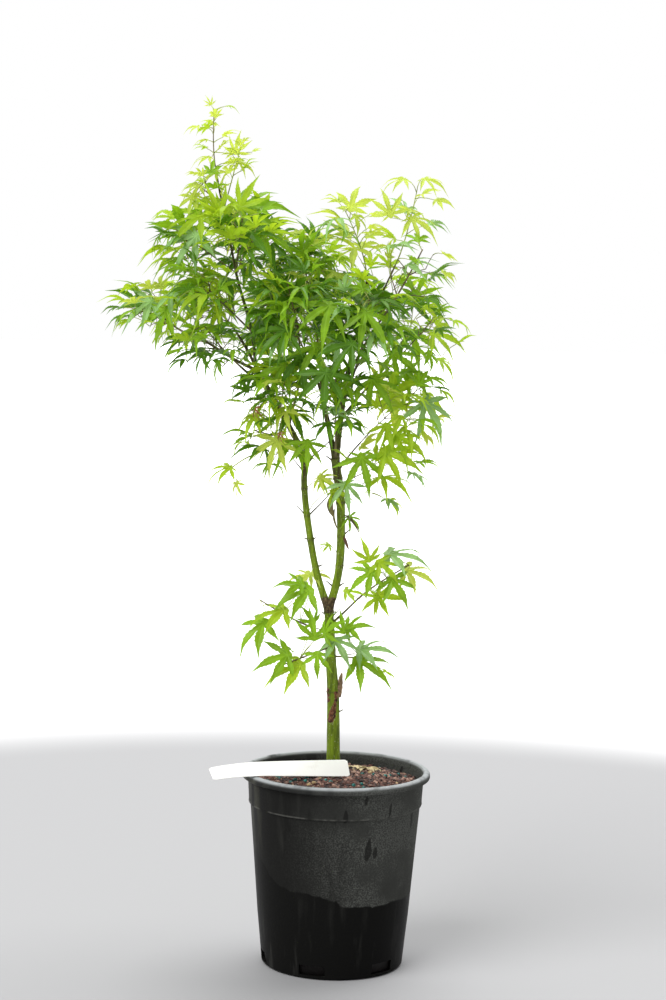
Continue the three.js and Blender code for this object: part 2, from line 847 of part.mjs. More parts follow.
function potSolid() {
  let pot = facingOut(potOutline());
  for (let i = 0; i < DRAIN.count; i++) {
    const heading = DRAIN.firstHeading + (360 / DRAIN.count) * i;
    const slot = new THREE.BoxGeometry(DRAIN.depth, DRAIN.width, DRAIN.top - DRAIN.bottom)
      .translate(POT.footRadius, 0, (DRAIN.top + DRAIN.bottom) / 2)
      .rotateZ(radians(heading));
    pot = pot.subtract(solidOf(slot));
  }
  return pot;
}

// The potting mix: it fills the pot to below the rim, and rises to a flat pad round the trunk.

const padHeight = POT.height - MIX.moundDrop;
const edgeHeight = POT.height - MIX.edgeDrop;
const wallRadiusAt = (height) => {
  const [low, high] = MIX_WALL.slice(-2);
  return lerp(low[0], high[0], (height - low[1]) / (high[1] - low[1]));
};

function mixSolid() {
  const edgeRadius = wallRadiusAt(edgeHeight);
  const top = Array.from({ length: MIX.rings }, (_, i) => {
    const share = i / MIX.rings;
    const height = lerp(edgeHeight, padHeight, share * share * (3 - 2 * share));
    return [lerp(edgeRadius, MIX.padRadius, share), height];
  });
  const floor = POT.floor + CLEAR;
  const outline = [
    [0, floor],
    [MIX_WALL[0][0], floor],
    MIX_WALL[1],
    ...top,
    [MIX.padRadius, padHeight],
    [0, padHeight],
  ].map(([radius, height]) => new THREE.Vector2(radius, height));
  const lathe = new THREE.LatheGeometry(outline, POT.sides).rotateX(Math.PI / 2);
  const place = lathe.getAttribute("position");
  const [across, deep] = MIX.lumpWidths;
  for (let i = 0; i < place.count; i++) {
    const radius = Math.hypot(place.getX(i), place.getY(i));
    const onTop = place.getZ(i) > edgeHeight + 0.1 && radius > MIX.padRadius + 1;
    const lump = Math.sin(place.getX(i) / across) * Math.cos(place.getY(i) / deep + 1);
    if (onTop) place.setZ(i, place.getZ(i) + MIX.lump * lump);
  }
  const solid = solidOf(lathe);
  return solid.volume() > 0 ? solid : solid.mirror([0, 1, 0]);
}

// The label: a thin strip that stands on the mix by the trunk, leans back and crosses the rim.

function labelSolid() {
  const crossing = inPlan(LABEL.rimHeading).multiplyScalar(POT.rimRadius - LABEL.rimInset);
  const foot = vector(LABEL.foot[0], LABEL.foot[1], padHeight + CLEAR + LABEL.thickness / 2);
  const rest = crossing.clone().setZ(POT.height + CLEAR + LABEL.thickness / 2);
  const run = rest.clone().sub(foot).normalize();
  const length = foot.distanceTo(rest) + LABEL.overhang;
  const back = vector(0, 0, 1).cross(run).normalize();
  if (back.y < 0) back.negate();
  const points = [];
  for (let i = 0; i <= LABEL.steps; i++) {
    const share = i / LABEL.steps;
    const lean = radians(lerp(LABEL.leanInner, LABEL.leanOuter, share));
    const up = back.clone().multiplyScalar(Math.sin(lean)).add(vector(0, 0, Math.cos(lean)));
    const thick = back.clone().multiplyScalar(Math.cos(lean)).add(vector(0, 0, -Math.sin(lean)));
    const low = along(foot, run, length * share);
    for (const [height, depth] of LABEL_CORNERS) {
      points.push(along(along(low, up, height * LABEL.width), thick, depth * LABEL.thickness));
    }
  }
  const faces = [
    [0, 1, 2],
    [0, 2, 3],
  ];
  for (let i = 0; i < LABEL.steps; i++) {
    for (let k = 0; k < 4; k++) {
      const a = 4 * i + k;
      const b = 4 * i + ((k + 1) % 4);
      faces.push([a, a + 4, b], [b, a + 4, b + 4]);
    }
  }
  const end = 4 * LABEL.steps;
  faces.push([end, end + 2, end + 1], [end, end + 3, end + 2]);
  const solid = solidOf(meshFrom(points, faces));
  const flipped = faces.map(([a, b, c]) => [a, c, b]);
  return solid.volume() > 0 ? solid : solidOf(meshFrom(points, flipped));
}

// Colours and finishes, and the finished group.

const finish = (color, roughness) => new THREE.MeshStandardMaterial({ color, roughness, metalness: 0 });
const BLACK_PLASTIC = finish(0x2b2d2e, 0.55);
const BARK_MIX = finish(0x4a3026, 0.95);
const WHITE_PLASTIC = finish(0xf4f4ee, 0.4);
const GREEN_BARK = finish(0x6b8a2c, 0.7);
const BROWN_BARK = finish(0x4d3b28, 0.8);
const LEAF = finish(0x6fae24, 0.6);

const plant = new THREE.Group();
function place(name, solid, material) {
  const mesh = new THREE.Mesh(geometryOf(solid), material);
  mesh.name = name;
  plant.add(mesh);
}

place("pot", potSolid(), BLACK_PLASTIC);
place("potting_mix", mixSolid(), BARK_MIX);
place("label", labelSolid(), WHITE_PLASTIC);
const limbs = buildLimbs();
for (const [name, limb] of limbs) {
  const green = ["trunk", "left_stem", "right_stem"].includes(name);
  place(name, name === "trunk" ? withSnag(limb) : limb.solid, green ? GREEN_BARK : BROWN_BARK);
}
const stems = MASSES.map((mass) => growStem(mass, limbs));
for (const stem of stems) place(`foliage_${stem.mass.name}`, massSolid(stem, limbs, stems), LEAF);

export default plant;
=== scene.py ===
"""A young maple in a black nursery pot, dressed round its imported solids. Run as a script in Blender 4.5."""

import json
import math

import bpy
import numpy as np
from mathutils import Matrix, Vector

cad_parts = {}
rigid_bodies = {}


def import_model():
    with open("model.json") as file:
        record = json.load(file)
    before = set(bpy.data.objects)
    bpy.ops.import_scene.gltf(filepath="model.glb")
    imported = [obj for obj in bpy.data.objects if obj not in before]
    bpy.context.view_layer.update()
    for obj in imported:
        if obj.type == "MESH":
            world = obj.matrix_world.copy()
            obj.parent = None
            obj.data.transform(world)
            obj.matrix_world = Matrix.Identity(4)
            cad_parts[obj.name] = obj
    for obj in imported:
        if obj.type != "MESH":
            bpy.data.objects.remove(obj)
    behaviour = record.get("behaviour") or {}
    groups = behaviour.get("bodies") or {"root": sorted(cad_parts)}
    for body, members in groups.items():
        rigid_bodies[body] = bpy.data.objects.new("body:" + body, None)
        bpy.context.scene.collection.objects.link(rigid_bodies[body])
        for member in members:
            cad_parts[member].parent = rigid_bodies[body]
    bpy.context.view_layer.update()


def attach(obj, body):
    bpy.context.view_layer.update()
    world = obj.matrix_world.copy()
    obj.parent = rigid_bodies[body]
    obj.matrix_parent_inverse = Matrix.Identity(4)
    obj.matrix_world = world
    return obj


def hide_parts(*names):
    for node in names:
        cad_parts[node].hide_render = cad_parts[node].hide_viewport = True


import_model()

bl_info = {
    "name": "Potted japanese maple",
    "version": (1, 0, 0),
    "blender": (4, 5, 0),
    "location": "3D View > Sidebar > Maple",
    "description": "Dresses the solids of a young maple in a nursery pot with bark, leaves and plastic",
    "category": "Object",
}

# Lengths in the tables are in millimetres, and headings in degrees from +X towards +Y. Materials and the
# camera work in metres, and their tables say so.

MM = 0.001
UP = np.array([0.0, 0.0, 1.0])
# A direction that no limb runs along, to start a tube's first ring from.
ASKEW = (0.31, 0.95, 0.1)
# The gap that the solids leave at the foot of each limb and stem.
CLEAR = 0.3

# Outlines are rows of radius and height.
POT_OUTSIDE = [
    (0, 0.6), (58, 0.6), (60, 0), (62, 0), (63.8, 0.7), (65, 2), (66.4, 16), (67.9, 31), (69.6, 47),
    (72.1, 78), (74.7, 110), (76.9, 136), (77.9, 147.6), (78.3, 149), (79.4, 149.4), (79.7, 150.2),
    (79.5, 151), (79.6, 155), (80.2, 165), (80.7, 172.2), (81.5, 172.9), (84.9, 173), (86.1, 173.8),
    (86.6, 175.2), (86.4, 177.2), (85.6, 178.8), (84.3, 179.7), (82.8, 180), (81.4, 179.7), (80.4, 178.6),
]
POT_INSIDE = [(79.4, 172), (76.3, 150), (67.7, 47), (62.5, 3), (0, 3)]
POT_SIDES = 144
# Edges of the pot that bend by more than this, in degrees, are sharp.
POT_CREASE = 35
# Slots round the foot of the wall, the first at this heading.
DRAIN = {"count": 6, "width": 24, "bottom": 3.4, "top": 13, "first": 254, "radius": 65, "depth": 12}

# How the damp line climbs round the pot's front, in metres: from and to along X, height from and to.
TIDE = (
    (-0.078, -0.048, 0.097, 0.067, "SMOOTHSTEP"), (-0.055, 0.03, 0.018, 0.004, "LINEAR"),
    (0.03, 0.07, -0.001, 0.001, "SMOOTHSTEP"), (0.002, 0.006, 0.0, -0.003, "SMOOTHSTEP"),
)
# Where each mark on the pot sets in, in metres of height or, for the first three, along X.
POT_MARKS = {
    "sunny_side": (-0.055, 0.075), "drips": (0.03, -0.03), "left_edge": (-0.055, -0.078),
    "stain": (0.09, 0.15), "foot": (0.05, 0.02), "step_low": (0.1492, 0.1498), "step_high": (0.1512, 0.1504),
    "lip_side": (0.1725, 0.1745), "lip_top": (0.1760, 0.1785), "rubbed_and_highlit": (0.1772, 0.1792),
}

MIX_WALL = [(0, 3.3), (61.9, 3.3), (67.4, 47)]
MIX_TOP = {"edge": (77.5, 168), "pad": (21, 174), "bump": 0.7, "rings": 14}
MIX_SIDES = 96
# How far apart the low lumps of the mix are along X and Y.
MIX_RUFFLE = (4.1, 3.7)
LUMP_OUTLINE = [(0, -0.5), (0.30, -0.40), (0.5, 0.0), (0.30, 0.40), (0, 0.5)]
LUMP_SIDES = 6
# Kinds of crumb, their sizes against the common one, how far they tip in radians, and the seed.
CRUMBS = {"kinds": 6, "sizes": (0.4, 1.6), "tip": 0.6, "seed": 4}
# The seed of the prills and the straws.
STREWN_SEED = 11
PRILLS = {"count": 46, "length": (3.4, 4.8), "lift": 1, "between": (14, 72)}
STRAW = {
    "count": 12, "heaps": ((27, 38), (-33, 55)), "first_share": 0.7, "spread": 5.5, "lift": 2.2,
    "length": (16, 30), "within": 70,
}

LABEL = {
    "width": 16, "thickness": 0.8, "overhang": 42, "heading": 211, "crossing": 82.4, "rim": 180.75,
    "foot": (13, -8.2, 174.75), "lean": (30, 60), "steps": 56, "corner": 1.2, "sag": 4, "sags_from": 0.6,
}
# The label's section with its blunted edges: shares of its width and of its thickness.
LABEL_SECTION = (
    (0, -0.3), (0.02, -0.5), (0.98, -0.5), (1, -0.3), (1, 0.3), (0.98, 0.5), (0.02, 0.5), (0, 0.3),
)

TRUNK_FOOT = np.array([-2.3, 8, 174.3])
# How much the trunk flares at its foot, and over what height that fades.
TRUNK_FLARE = (0.5, 9)
# The crown's upright axis in plan, and how far it reaches from there.
CROWN_AXIS = np.array([-25.0, 6.0])
CROWN_REACH = 60
GREEN_LIMBS = ("trunk", "left_stem", "right_stem")

# name: parent, share of its length, radii, and the legs as rise, run and heading
LIMBS = {
    "trunk": (None, 0, (6.4, 4.2), [(68.7, 2, 209), (36, 2.7, 180), (50, 3.5, 164)]),
    "left_stem": ("trunk", 0.97, (3.3, 2.4), [
        (40.5, 13.4, 171), (44, 8.5, 165), (35, 4, 166), (21, 1.4, 48), (20, 11.3, 170), (37, 22.6, 167),
        (24, 16, 162),
    ]),
    "right_stem": ("trunk", 0.97, (3.5, 4.1), [(40.5, 8.9, 342), (56, 2, 281), (45, 6.6, 198)]),
    "right_bough": ("right_stem", 0.98, (3.1, 1.3), [
        (45, 5, 336), (27, 3.4, 17), (27, 6, 19), (47, 12, 19), (23, 2, 104),
    ]),
    "centre_bough": ("right_stem", 0.98, (2.8, 1.4), [(53, 14.7, 142), (41, 13, 114)]),
    "leader": ("left_stem", 0.99, (2.1, 0.9), [
        (34, 4.8, 204), (46, 14, 197), (18.5, 4.5, 207), (54, 12.7, 198), (29, 6, 198),
    ]),
    "left_bough": ("left_stem", 0.98, (1.6, 1), [(10, 22.4, 207), (16, 28, 201), (7, 17, 194)]),
    "left_low_bough": ("left_stem", 0.886, (1.5, 1), [(9, 14, 206), (10, 14, 216)]),
    "left_back_bough": ("left_stem", 0.96, (1.6, 1), [(20, 14, 140), (18, 14, 148)]),
    "centre_front_bough": ("left_stem", 0.75, (1.5, 1), [(20, 12, 292), (18, 14, 287)]),
    "centre_back_bough": ("centre_bough", 0.5, (1.4, 1), [(18, 16, 114), (16, 15, 121)]),
    "upper_right_bough": ("right_bough", 0.62, (1.4, 0.9), [(52, 27, 21), (24, 12, 24)]),
    "right_outer_bough": ("right_bough", 0.44, (1.4, 0.9), [(36, 20, 346), (24, 16, 342)]),
    "right_back_bough": ("right_bough", 0.3, (1.4, 1), [(24, 18, 55), (18, 18, 51)]),
    "right_side_bough": ("right_bough", 0.17, (1.4, 1), [(24, 20, 348), (14, 14, 355)]),
    "right_front_bough": ("right_bough", 0.24, (1.4, 1), [(20, 14, 298), (16, 13, 292)]),
    "right_lower_bough": ("right_stem", 0.9, (1.4, 1), [(16, 11, 344), (14, 12, 340)]),
    "hanging_twig": ("left_stem", 0.6, (1, 0.7), [(6, 22, 196), (-8, 26, 190)]),
    "low_right_bough": ("trunk", 0.887, (1.5, 0.9), [(14, 15, 334), (13, 14, 328)]),
    "low_left_bough": ("trunk", 0.85, (1.3, 0.9), [(4, 14, 201)]),
}

# Rings that old leaf pairs left on the green limbs: height and strength of each.
RINGS = {
    "trunk": ((251, 1.2), (289, 0.6), (325, 1.8), (332, 2.2)),
    "left_stem": (
        (337, 1), (365, 0.8), (390, 1.2), (412, 1.2), (437, 1.6), (459, 1.6), (486, 1), (512, 1), (540, 1),
    ),
    "right_stem": ((338, 1), (367.5, 0.8), (395, 1), (426, 1.8), (448, 1.4), (468, 1.4)),
}
RING_STEP = 21
# How far a ring and a limb's foot swell, and along what run.
SWELL = {"ring": 0.09, "ring_run": 1.7, "foot": 0.35, "foot_run": 4}
# Limbs that the crown hides or that hang by a hair are slimmer than their solids.
SLIM = {
    "hanging_twig": 0.30, "low_right_bough": 0.8, "low_left_bough": 0.45, "right_lower_bough": 0.65,
    "right_side_bough": 0.8, "leader": 0.8, "upper_right_bough": 0.75,
}

# Red-brown wounds low on the trunk: middle, reach and strength.
SCARS = [
    ((-6.2, 2, 224.8), 2.8, 1), ((-5, 1.5, 228.5), 3.4, 1), ((-4.2, 1, 232.5), 2.6, 1),
    ((-3, 1, 236.2), 2, 1), ((-2, 1, 239.5), 1.8, 1), ((-1.2, 1, 242.8), 1.7, 1),
    ((-0.6, 1.2, 246), 1.7, 1), ((0, 1.5, 249.5), 2, 1), ((-9, 4.5, 252), 2, 0.8),
    ((-9.2, 4.5, 247.5), 2.2, 0.9), ((-8.8, 4.5, 243.2), 1.8, 0.9),
]
# The dark, ringed collar where the trunk forks, in the same form.
COLLAR = [((-13.5, 4, 332.5), 5, 0.8), ((-6.8, 4, 332.5), 5, 0.8), ((-10.2, 3.5, 329.5), 5, 0.9)]
# Heights in metres between which the stems turn grey-brown.
GREY_FROM = (0.425, 0.455)
# The soft edge round a wound.
BALL_EDGE = 0.9
# The dead snag on the trunk's right: where it stands, its shape and its radii from foot to tip.
SNAG = {
    "share": 0.385, "heading": 350, "out": 5.2, "run": 2.8, "rise": 18, "from": -0.25, "rings": 14,
    "sides": 12, "radii": (2.6, 3.5, 3.2, 2.4, 2.2, 1.7, 0.6), "tint": (1.6, 2.7, 3.2),
}
# Length of a bark tube's steps and number of its sides.
BARK_STEPS = {"trunk": (1.1, 28), "left_stem": (1.1, 20), "right_stem": (1.1, 20), "bough": (1.6, 10)}
# Shares of the brown and of the green bark in the colour of a bough.
MOSS = (0.9, 0.25)
# A dead stub's radius at its foot, short or long, and the length from which it counts as long.
STUB = {"short": 1.15, "long": 0.75, "long_from": 8, "sides": 6, "ring": 0.8}
STUBS = [
    # limb, height, heading, climb and length of each dead stub
    ("left_stem", 412, 192, 48, 13), ("left_stem", 412, 20, 45, 34), ("left_stem", 390, 185, 15, 1.6),
    ("left_stem", 390, 350, 25, 1.4), ("left_stem", 365, 20, 20, 3), ("left_stem", 452, 186, 50, 14),
    ("left_stem", 462, 15, 42, 38), ("left_stem", 459, 345, 50, 6), ("left_stem", 512, 210, 30, 12),
    ("right_stem", 395, 10, 40, 4), ("right_stem", 367, 300, 10, 2.5), ("right_stem", 347, 345, 35, 5),
    ("right_stem", 347, 190, 40, 6), ("right_stem", 463, 195, 35, 5), ("right_stem", 426, 185, 40, 3),
    ("trunk", 318, 340, 50, 8), ("trunk", 230, 340, 30, 2.5), ("trunk", 321, 190, 30, 1.6),
    ("trunk", 323, 240, 20, 1.2), ("trunk", 322, 285, 30, 1.4), ("trunk", 323, 330, 20, 1.8),
]
# Heights in metres between which a dry strip turns from olive to rusty.
RUSTY_BELOW = (0.399, 0.396)
DEAD_BITS = [
    # limb, height on it, places along each strip from there, width and the way across
    (
        "right_stem", 431, ((-3, -4, 4), (-5.5, -6, 0), (-7.5, -6, -7), (-6.5, -5, -14), (-5, -5, -19)),
        7.5, (0.8, -0.6, 0),
    ),
    ("right_stem", 415, ((-5.8, -5, 5), (-6, -6, -1), (-4.5, -5, -8), (-2.6, -4, -14)), 3.2, (0.7, -0.7, 0)),
    ("right_stem", 392, ((2.5, -3, 3), (4.6, -4, 0), (6.4, -5, -5), (7.4, -5, -9)), 3.6, (0.7, -0.7, 0.3)),
    (
        "right_stem", 412, ((3, -2, 2), (7, -4, 1), (11, -6, -3), (15, -7, -9), (17.5, -7, -15)),
        3, (0.3, -0.5, 0.8),
    ),
    ("left_stem", 536, ((-6, -8, 6), (-8, -10, 2), (-10, -11, -4), (-11, -11, -10)), 4, (0.7, -0.7, 0)),
]

# name: limb, share of its length (None for its tip), middle, reach, range of blades, depth of green and
# sparseness
MASSES = {
    "leader_top": ("leader", None, (-122, 3, 759), (23, 24, 33), (14, 24), 0.0, 1.35),
    "leader_spur": ("leader", 0.76, (-102, 8, 730), (21, 22, 25), (15, 24), 0.05, 1.2),
    "leader_left": ("leader", 0.72, (-123, -6, 700), (26, 28, 32), (20, 30), 0.3, 1.25),
    "leader_front": ("leader", 0.5, (-96, -25, 664), (50, 50, 43), (36, 52), 0.62, 1.4),
    "leader_west": ("leader", 0.47, (-145, 0, 662), (38, 46, 38), (34, 50), 0.46, 1.65),
    "leader_back": ("leader", 0.45, (-94, 45, 654), (52, 48, 46), (34, 48), 0.55, 1.5),
    "left_upper": ("leader", 0.2, (-122, -30, 615), (54, 50, 40), (36, 50), 0.6, 1.3),
    "left_back": ("left_back_bough", None, (-136, 50, 605), (52, 50, 42), (36, 48), 0.55, 1.85),
    "left_tip": ("left_bough", None, (-172, -5, 600), (46, 50, 29), (32, 46), 0.45, 2.0),
    "left_lower": ("left_low_bough", None, (-117, -35, 574), (50, 50, 34), (34, 46), 0.55, 1.95),
    "centre_top": ("centre_bough", None, (-38, 15, 630), (56, 54, 52), (36, 50), 0.38, 0.7),
    "centre_front": ("centre_front_bough", None, (-50, -46, 600), (56, 52, 52), (38, 52), 0.7, 0.58),
    "centre_back": ("centre_back_bough", None, (-50, 65, 588), (60, 49, 54), (36, 52), 0.55, 0.8),
    "centre_low": ("left_stem", 0.8, (-55, -35, 527), (52, 54, 44), (36, 50), 0.5, 1.5),
    "left_hanging": ("left_stem", 0.68, (-62, 0, 485), (45, 48, 36), (32, 44), 0.4, 2.3),
    "right_top": ("right_bough", None, (3, -2, 671), (38, 46, 43), (28, 42), 0.02, 1.5),
    "upper_right": ("upper_right_bough", None, (56, 12, 689), (39, 48, 34), (30, 42), 0.08, 2.5),
    "right_outer": ("right_outer_bough", None, (56, -28, 637), (43, 50, 40), (32, 46), 0.38, 2.9),
    "right_front": ("right_front_bough", None, (16, -58, 590), (54, 46, 54), (38, 52), 0.7, 1.15),
    "middle_front": ("right_stem", 0.97, (-8, -46, 524), (42, 44, 44), (34, 48), 0.7, 0.7),
    "right_back": ("right_back_bough", None, (38, 50, 598), (56, 50, 58), (36, 50), 0.5, 2.3),
    "right_tip": ("right_side_bough", None, (64, -16, 579), (49, 54, 39), (34, 48), 0.48, 2.9),
    "right_lower": ("right_lower_bough", None, (50, -22, 516), (51, 54, 46), (36, 50), 0.38, 2.0),
    "right_hanging": ("right_stem", 0.82, (35, -14, 462), (50, 50, 42), (36, 50), 0.36, 3.0),
    "low_right": ("low_right_bough", None, (46, -18, 361), (48, 44, 28), (30, 42), 0.45, 5),
    "low_left": ("low_left_bough", None, (-52, -8, 326), (48, 46, 38), (30, 44), 0.4, 8),
    "low_front_left": ("trunk", 0.76, (-38, -22, 284), (42, 42, 34), (30, 42), 0.48, 5),
    "low_front_right": ("trunk", 0.7, (24, -24, 287), (36, 42, 34), (30, 42), 0.5, 5),
    "lone_sprig": ("hanging_twig", None, (-112, -8, 442), (24, 22, 30), (22, 32), 0.3, 9),
}

# Leaves that catch the eye: for each mass the palm's place, midrib, upper face, length and green.
STANDOUTS = {
    "leader_top": [
        ((-126, 3, 781), (-0.3, -0.4, 0.9), (0, -0.8, 0.5), 10, "lime"),
        ((-126, 2, 734), (-1, -0.2, -0.05), (0, -0.3, 1), 22, "lime"),
        ((-103, 6, 739), (0.2, -0.3, 0.9), (0, -0.8, 0.5), 22, "lime"),
        ((-120, 0, 720), (-1, -0.3, 0.05), (0, -0.5, 0.9), 24, "lime"),
        ((-100, 4, 730), (1, -0.3, -0.3), (0, -0.4, 0.9), 22, "lime"),
    ],
    "leader_left": [
        ((-134, -8, 708), (-0.9, -0.3, -0.35), (0, -0.5, 0.9), 26, "lime"),
        ((-139, -14, 698), (-0.4, -0.3, -0.9), (-0.2, -0.9, 0.3), 24, "lime"),
        ((-128, -16, 696), (0.2, -0.3, -1), (0, -0.9, 0.4), 26, "fresh"),
    ],
    "upper_right": [
        ((37, -22, 686), (-0.2, 0.1, 1), (0.05, -1, 0.15), 32, "lime"),
        ((49, -6, 718), (-1, -0.3, -0.1), (0, -0.35, 1), 28, "lime"),
        ((67, 2, 719), (1, -0.3, -0.15), (0.1, -0.4, 1), 28, "lime"),
        ((56, -14, 683), (0.8, -0.3, -0.35), (0.1, -0.6, 0.8), 34, "lime"),
    ],
    "leader_front": [
        ((-95, -30, 688), (1, -0.1, 0.22), (-0.1, -0.7, 0.7), 56, "mid"),
        ((-96, -36, 689), (0.5, -0.2, 0.9), (0, -0.9, 0.3), 36, "fresh"),
        ((-115, -38, 684), (-0.2, -0.5, 0.7), (0, -0.9, 0.4), 32, "fresh"),
        ((-76, -34, 668), (1, -0.4, -0.5), (0, -0.7, 0.6), 42, "mid"),
    ],
    "leader_west": [
        ((-131, -18, 681), (-1, -0.1, -0.1), (0.05, -0.6, 0.8), 52, "fresh"),
        ((-149, -10, 643), (-1, -0.1, -0.2), (0, -0.3, 1), 38, "mid"),
        ((-135, -30, 663), (-0.7, -0.4, -0.7), (0, -0.8, 0.6), 44, "pale"),
    ],
    "centre_front": [
        ((-17, -89, 547), (-0.12, -0.35, -1), (0.05, -0.95, 0.3), 46, "deep"),
        ((-15, -86, 605), (-0.2, -0.5, -0.6), (0.05, -0.8, 0.7), 46, "mid"),
        ((-52, -83, 583), (-0.9, -0.5, -0.5), (0.05, -0.8, 0.7), 44, "deep"),
        ((-26, -70, 569), (0.2, -0.5, -0.8), (0.05, -0.85, 0.5), 42, "mid"),
    ],
    "centre_low": [
        ((-54, -55, 551), (-0.5, -0.4, -0.8), (0, -0.85, 0.5), 42, "mid"),
        ((-79, -56, 513), (0.08, -0.3, -1), (-0.85, -0.5, 0.1), 17, "rusty"),
        ((-56, -62, 492), (-0.1, -0.3, -1), (-0.8, -0.6, 0.1), 12, "rusty"),
        ((-40, -60, 560), (0.1, -0.4, -0.9), (0.05, -0.85, 0.5), 42, "deep"),
    ],
    "right_front": [
        ((16, -91, 600), (0.5, -0.4, -0.7), (0, -0.8, 0.6), 44, "mid"),
        ((5, -92, 572), (-0.6, -0.4, -0.6), (0, -0.8, 0.6), 44, "deep"),
        ((24, -52, 541), (0.5, -0.4, -0.7), (0, -0.85, 0.5), 40, "mid"),
    ],
    "right_tip": [
        ((77, -30, 581), (1, -0.15, -0.12), (0, -0.5, 0.9), 40, "fresh"),
        ((42, -36, 563), (0.8, -0.4, -0.5), (0, -0.8, 0.6), 38, "mid"),
        ((53, -28, 547), (0.9, -0.3, -0.6), (0, -0.7, 0.7), 36, "mid"),
    ],
    "right_hanging": [
        ((37, -52, 476), (1, -0.2, -0.32), (-0.1, -0.8, 0.6), 44, "fresh"),
        ((16, -58, 472), (0.25, -0.3, -1), (0.2, -1, 0.3), 42, "mid"),
        ((3, -48, 447), (0.05, -0.5, -0.9), (0, -0.9, 0.6), 32, "pale"),
        ((46, -40, 490), (1, -0.3, -0.4), (0, -0.6, 0.8), 42, "fresh"),
    ],
    "right_lower": [
        ((71, -34, 520), (0.55, -0.3, -0.8), (0.3, -0.8, 0.5), 46, "pale"),
        ((37, -50, 500), (0.2, -0.5, -0.8), (0, -0.9, 0.5), 30, "fresh"),
    ],
    "left_tip": [
        ((-174, -30, 604), (-0.8, -0.4, -0.4), (0.1, -0.7, 0.7), 40, "pale"),
        ((-156, -34, 611), (0.5, -0.5, -0.3), (0, -0.7, 0.7), 34, "pale"),
        ((-160, -36, 597), (-0.4, -0.4, -0.8), (0, -0.85, 0.5), 40, "mid"),
    ],
    "left_hanging": [
        ((-59, -36, 484), (-0.45, -0.3, -0.9), (-0.2, -0.9, 0.4), 40, "lime"),
        ((-32, -44, 483), (-0.05, -0.4, -1), (0.1, -0.95, 0.5), 32, "mid"),
        ((-21, -26, 451), (0.5, -0.4, -0.2), (0, -0.9, 0.4), 22, "lime"),
    ],
    "low_left": [
        ((-26, 14, 358), (1, -0.2, -0.08), (0, -0.45, 0.9), 24, "lime"),
        ((-28, 12, 357), (-1, -0.2, -0.02), (0, -0.45, 0.9), 26, "lime"),
        ((-35, -16, 352), (-1, -0.2, 0.2), (0.1, -0.6, 0.8), 30, "mid"),
        ((-28, -20, 347), (-1, -0.2, -0.25), (0, -0.5, 0.9), 44, "mid"),
        ((-50, -24, 329), (-1, -0.2, -0.12), (0, -0.4, 0.9), 40, "fresh"),
        ((-68, -26, 318), (-0.85, -0.2, -0.65), (-0.1, -0.5, 0.9), 42, "mid"),
    ],
    "low_front_left": [
        ((-46, -34, 290), (-0.95, -0.2, -0.2), (0, -0.85, 0.55), 38, "mid"),
        ((-34, -30, 280), (-1, -0.3, -0.2), (-0.1, -0.55, 0.85), 42, "fresh"),
        ((-22, -44, 308), (-0.1, -0.2, 1), (0.05, -1, 0.1), 30, "mid"),
        ((-24, -26, 319), (-0.3, -0.4, 0.7), (0.05, -0.8, 0.5), 22, "mid"),
        ((-19, -48, 294), (-0.1, -0.3, -1), (-0.1, -0.9, 0.4), 26, "mid"),
        ((-13, -50, 313), (0.5, -0.5, 0.5), (0, -0.8, 0.6), 28, "mid"),
    ],
    "low_front_right": [
        ((-3, -50, 307), (0.3, -0.5, -0.5), (0, -0.8, 0.6), 32, "pale"),
        ((7, -40, 317), (1, -0.2, 0.2), (0, -0.7, 0.7), 28, "mid"),
        ((4, -44, 314), (-0.1, -0.2, 1), (0, -0.95, 0.3), 22, "mid"),
        ((19, -30, 296), (1, -0.2, 0.08), (0, -0.45, 0.9), 40, "pale"),
        ((17, -34, 287), (0.85, -0.3, -0.45), (0.1, -0.6, 0.8), 44, "mid"),
    ],
    "low_right": [
        ((43, -20, 382), (1, -0.2, -0.06), (0, -0.35, 0.95), 46, "pale"),
        ((25, -44, 379), (-0.2, -0.3, 0.9), (0.1, -0.9, 0.3), 24, "fresh"),
        ((34, -36, 376), (0.6, -0.3, -0.5), (0.1, -0.7, 0.7), 30, "fresh"),
        ((28, -40, 368), (-0.9, -0.3, -0.5), (0, -0.75, 0.65), 32, "mid"),
        ((59, -14, 367), (1, -0.2, -0.3), (0.1, -0.5, 0.85), 38, "lime"),
        ((34, -22, 344), (0.9, -0.3, -0.05), (0, -0.9, 0.5), 30, "fresh"),
        ((34, -26, 343), (-0.7, -0.3, -0.4), (0, -0.8, 0.5), 22, "fresh"),
        ((5, -26, 348), (0.9, -0.1, -0.05), (0, -0.4, 0.9), 24, "fresh"),
        ((46, -34, 361), (0.6, -0.3, -0.9), (0.2, -0.85, 0.5), 34, "mid"),
    ],
    "lone_sprig": [
        ((-102, -8, 456), (-1, -0.3, -0.2), (0.1, -0.35, 1), 31, "fresh"),
        ((-95, -14, 443), (-0.25, -0.2, -1), (-0.85, -0.5, 0.1), 22, "lime"),
    ],
}
# Leaves on the limbs.
SINGLE_LEAVES = [
    # limb, height on it, foot of the blade from there, midrib, upper face, length and green
    ("left_stem", 413, (20, -16, 24), (1, -0.2, -0.25), (-0.1, -0.8, 0.6), 24, "fresh"),
    ("right_stem", 412, (5, -3, 2), (0.9, -0.2, -0.75), (0.3, -0.8, 0.5), 20, "mid"),
    ("right_stem", 372, (-8, -6, 15), (-1, -0.3, -0.1), (0, -0.4, 0.9), 17, "fresh"),
    ("left_stem", 434, (13, -10, 12), (0.9, -0.3, -0.3), (-0.1, -0.7, 0.7), 20, "fresh"),
]

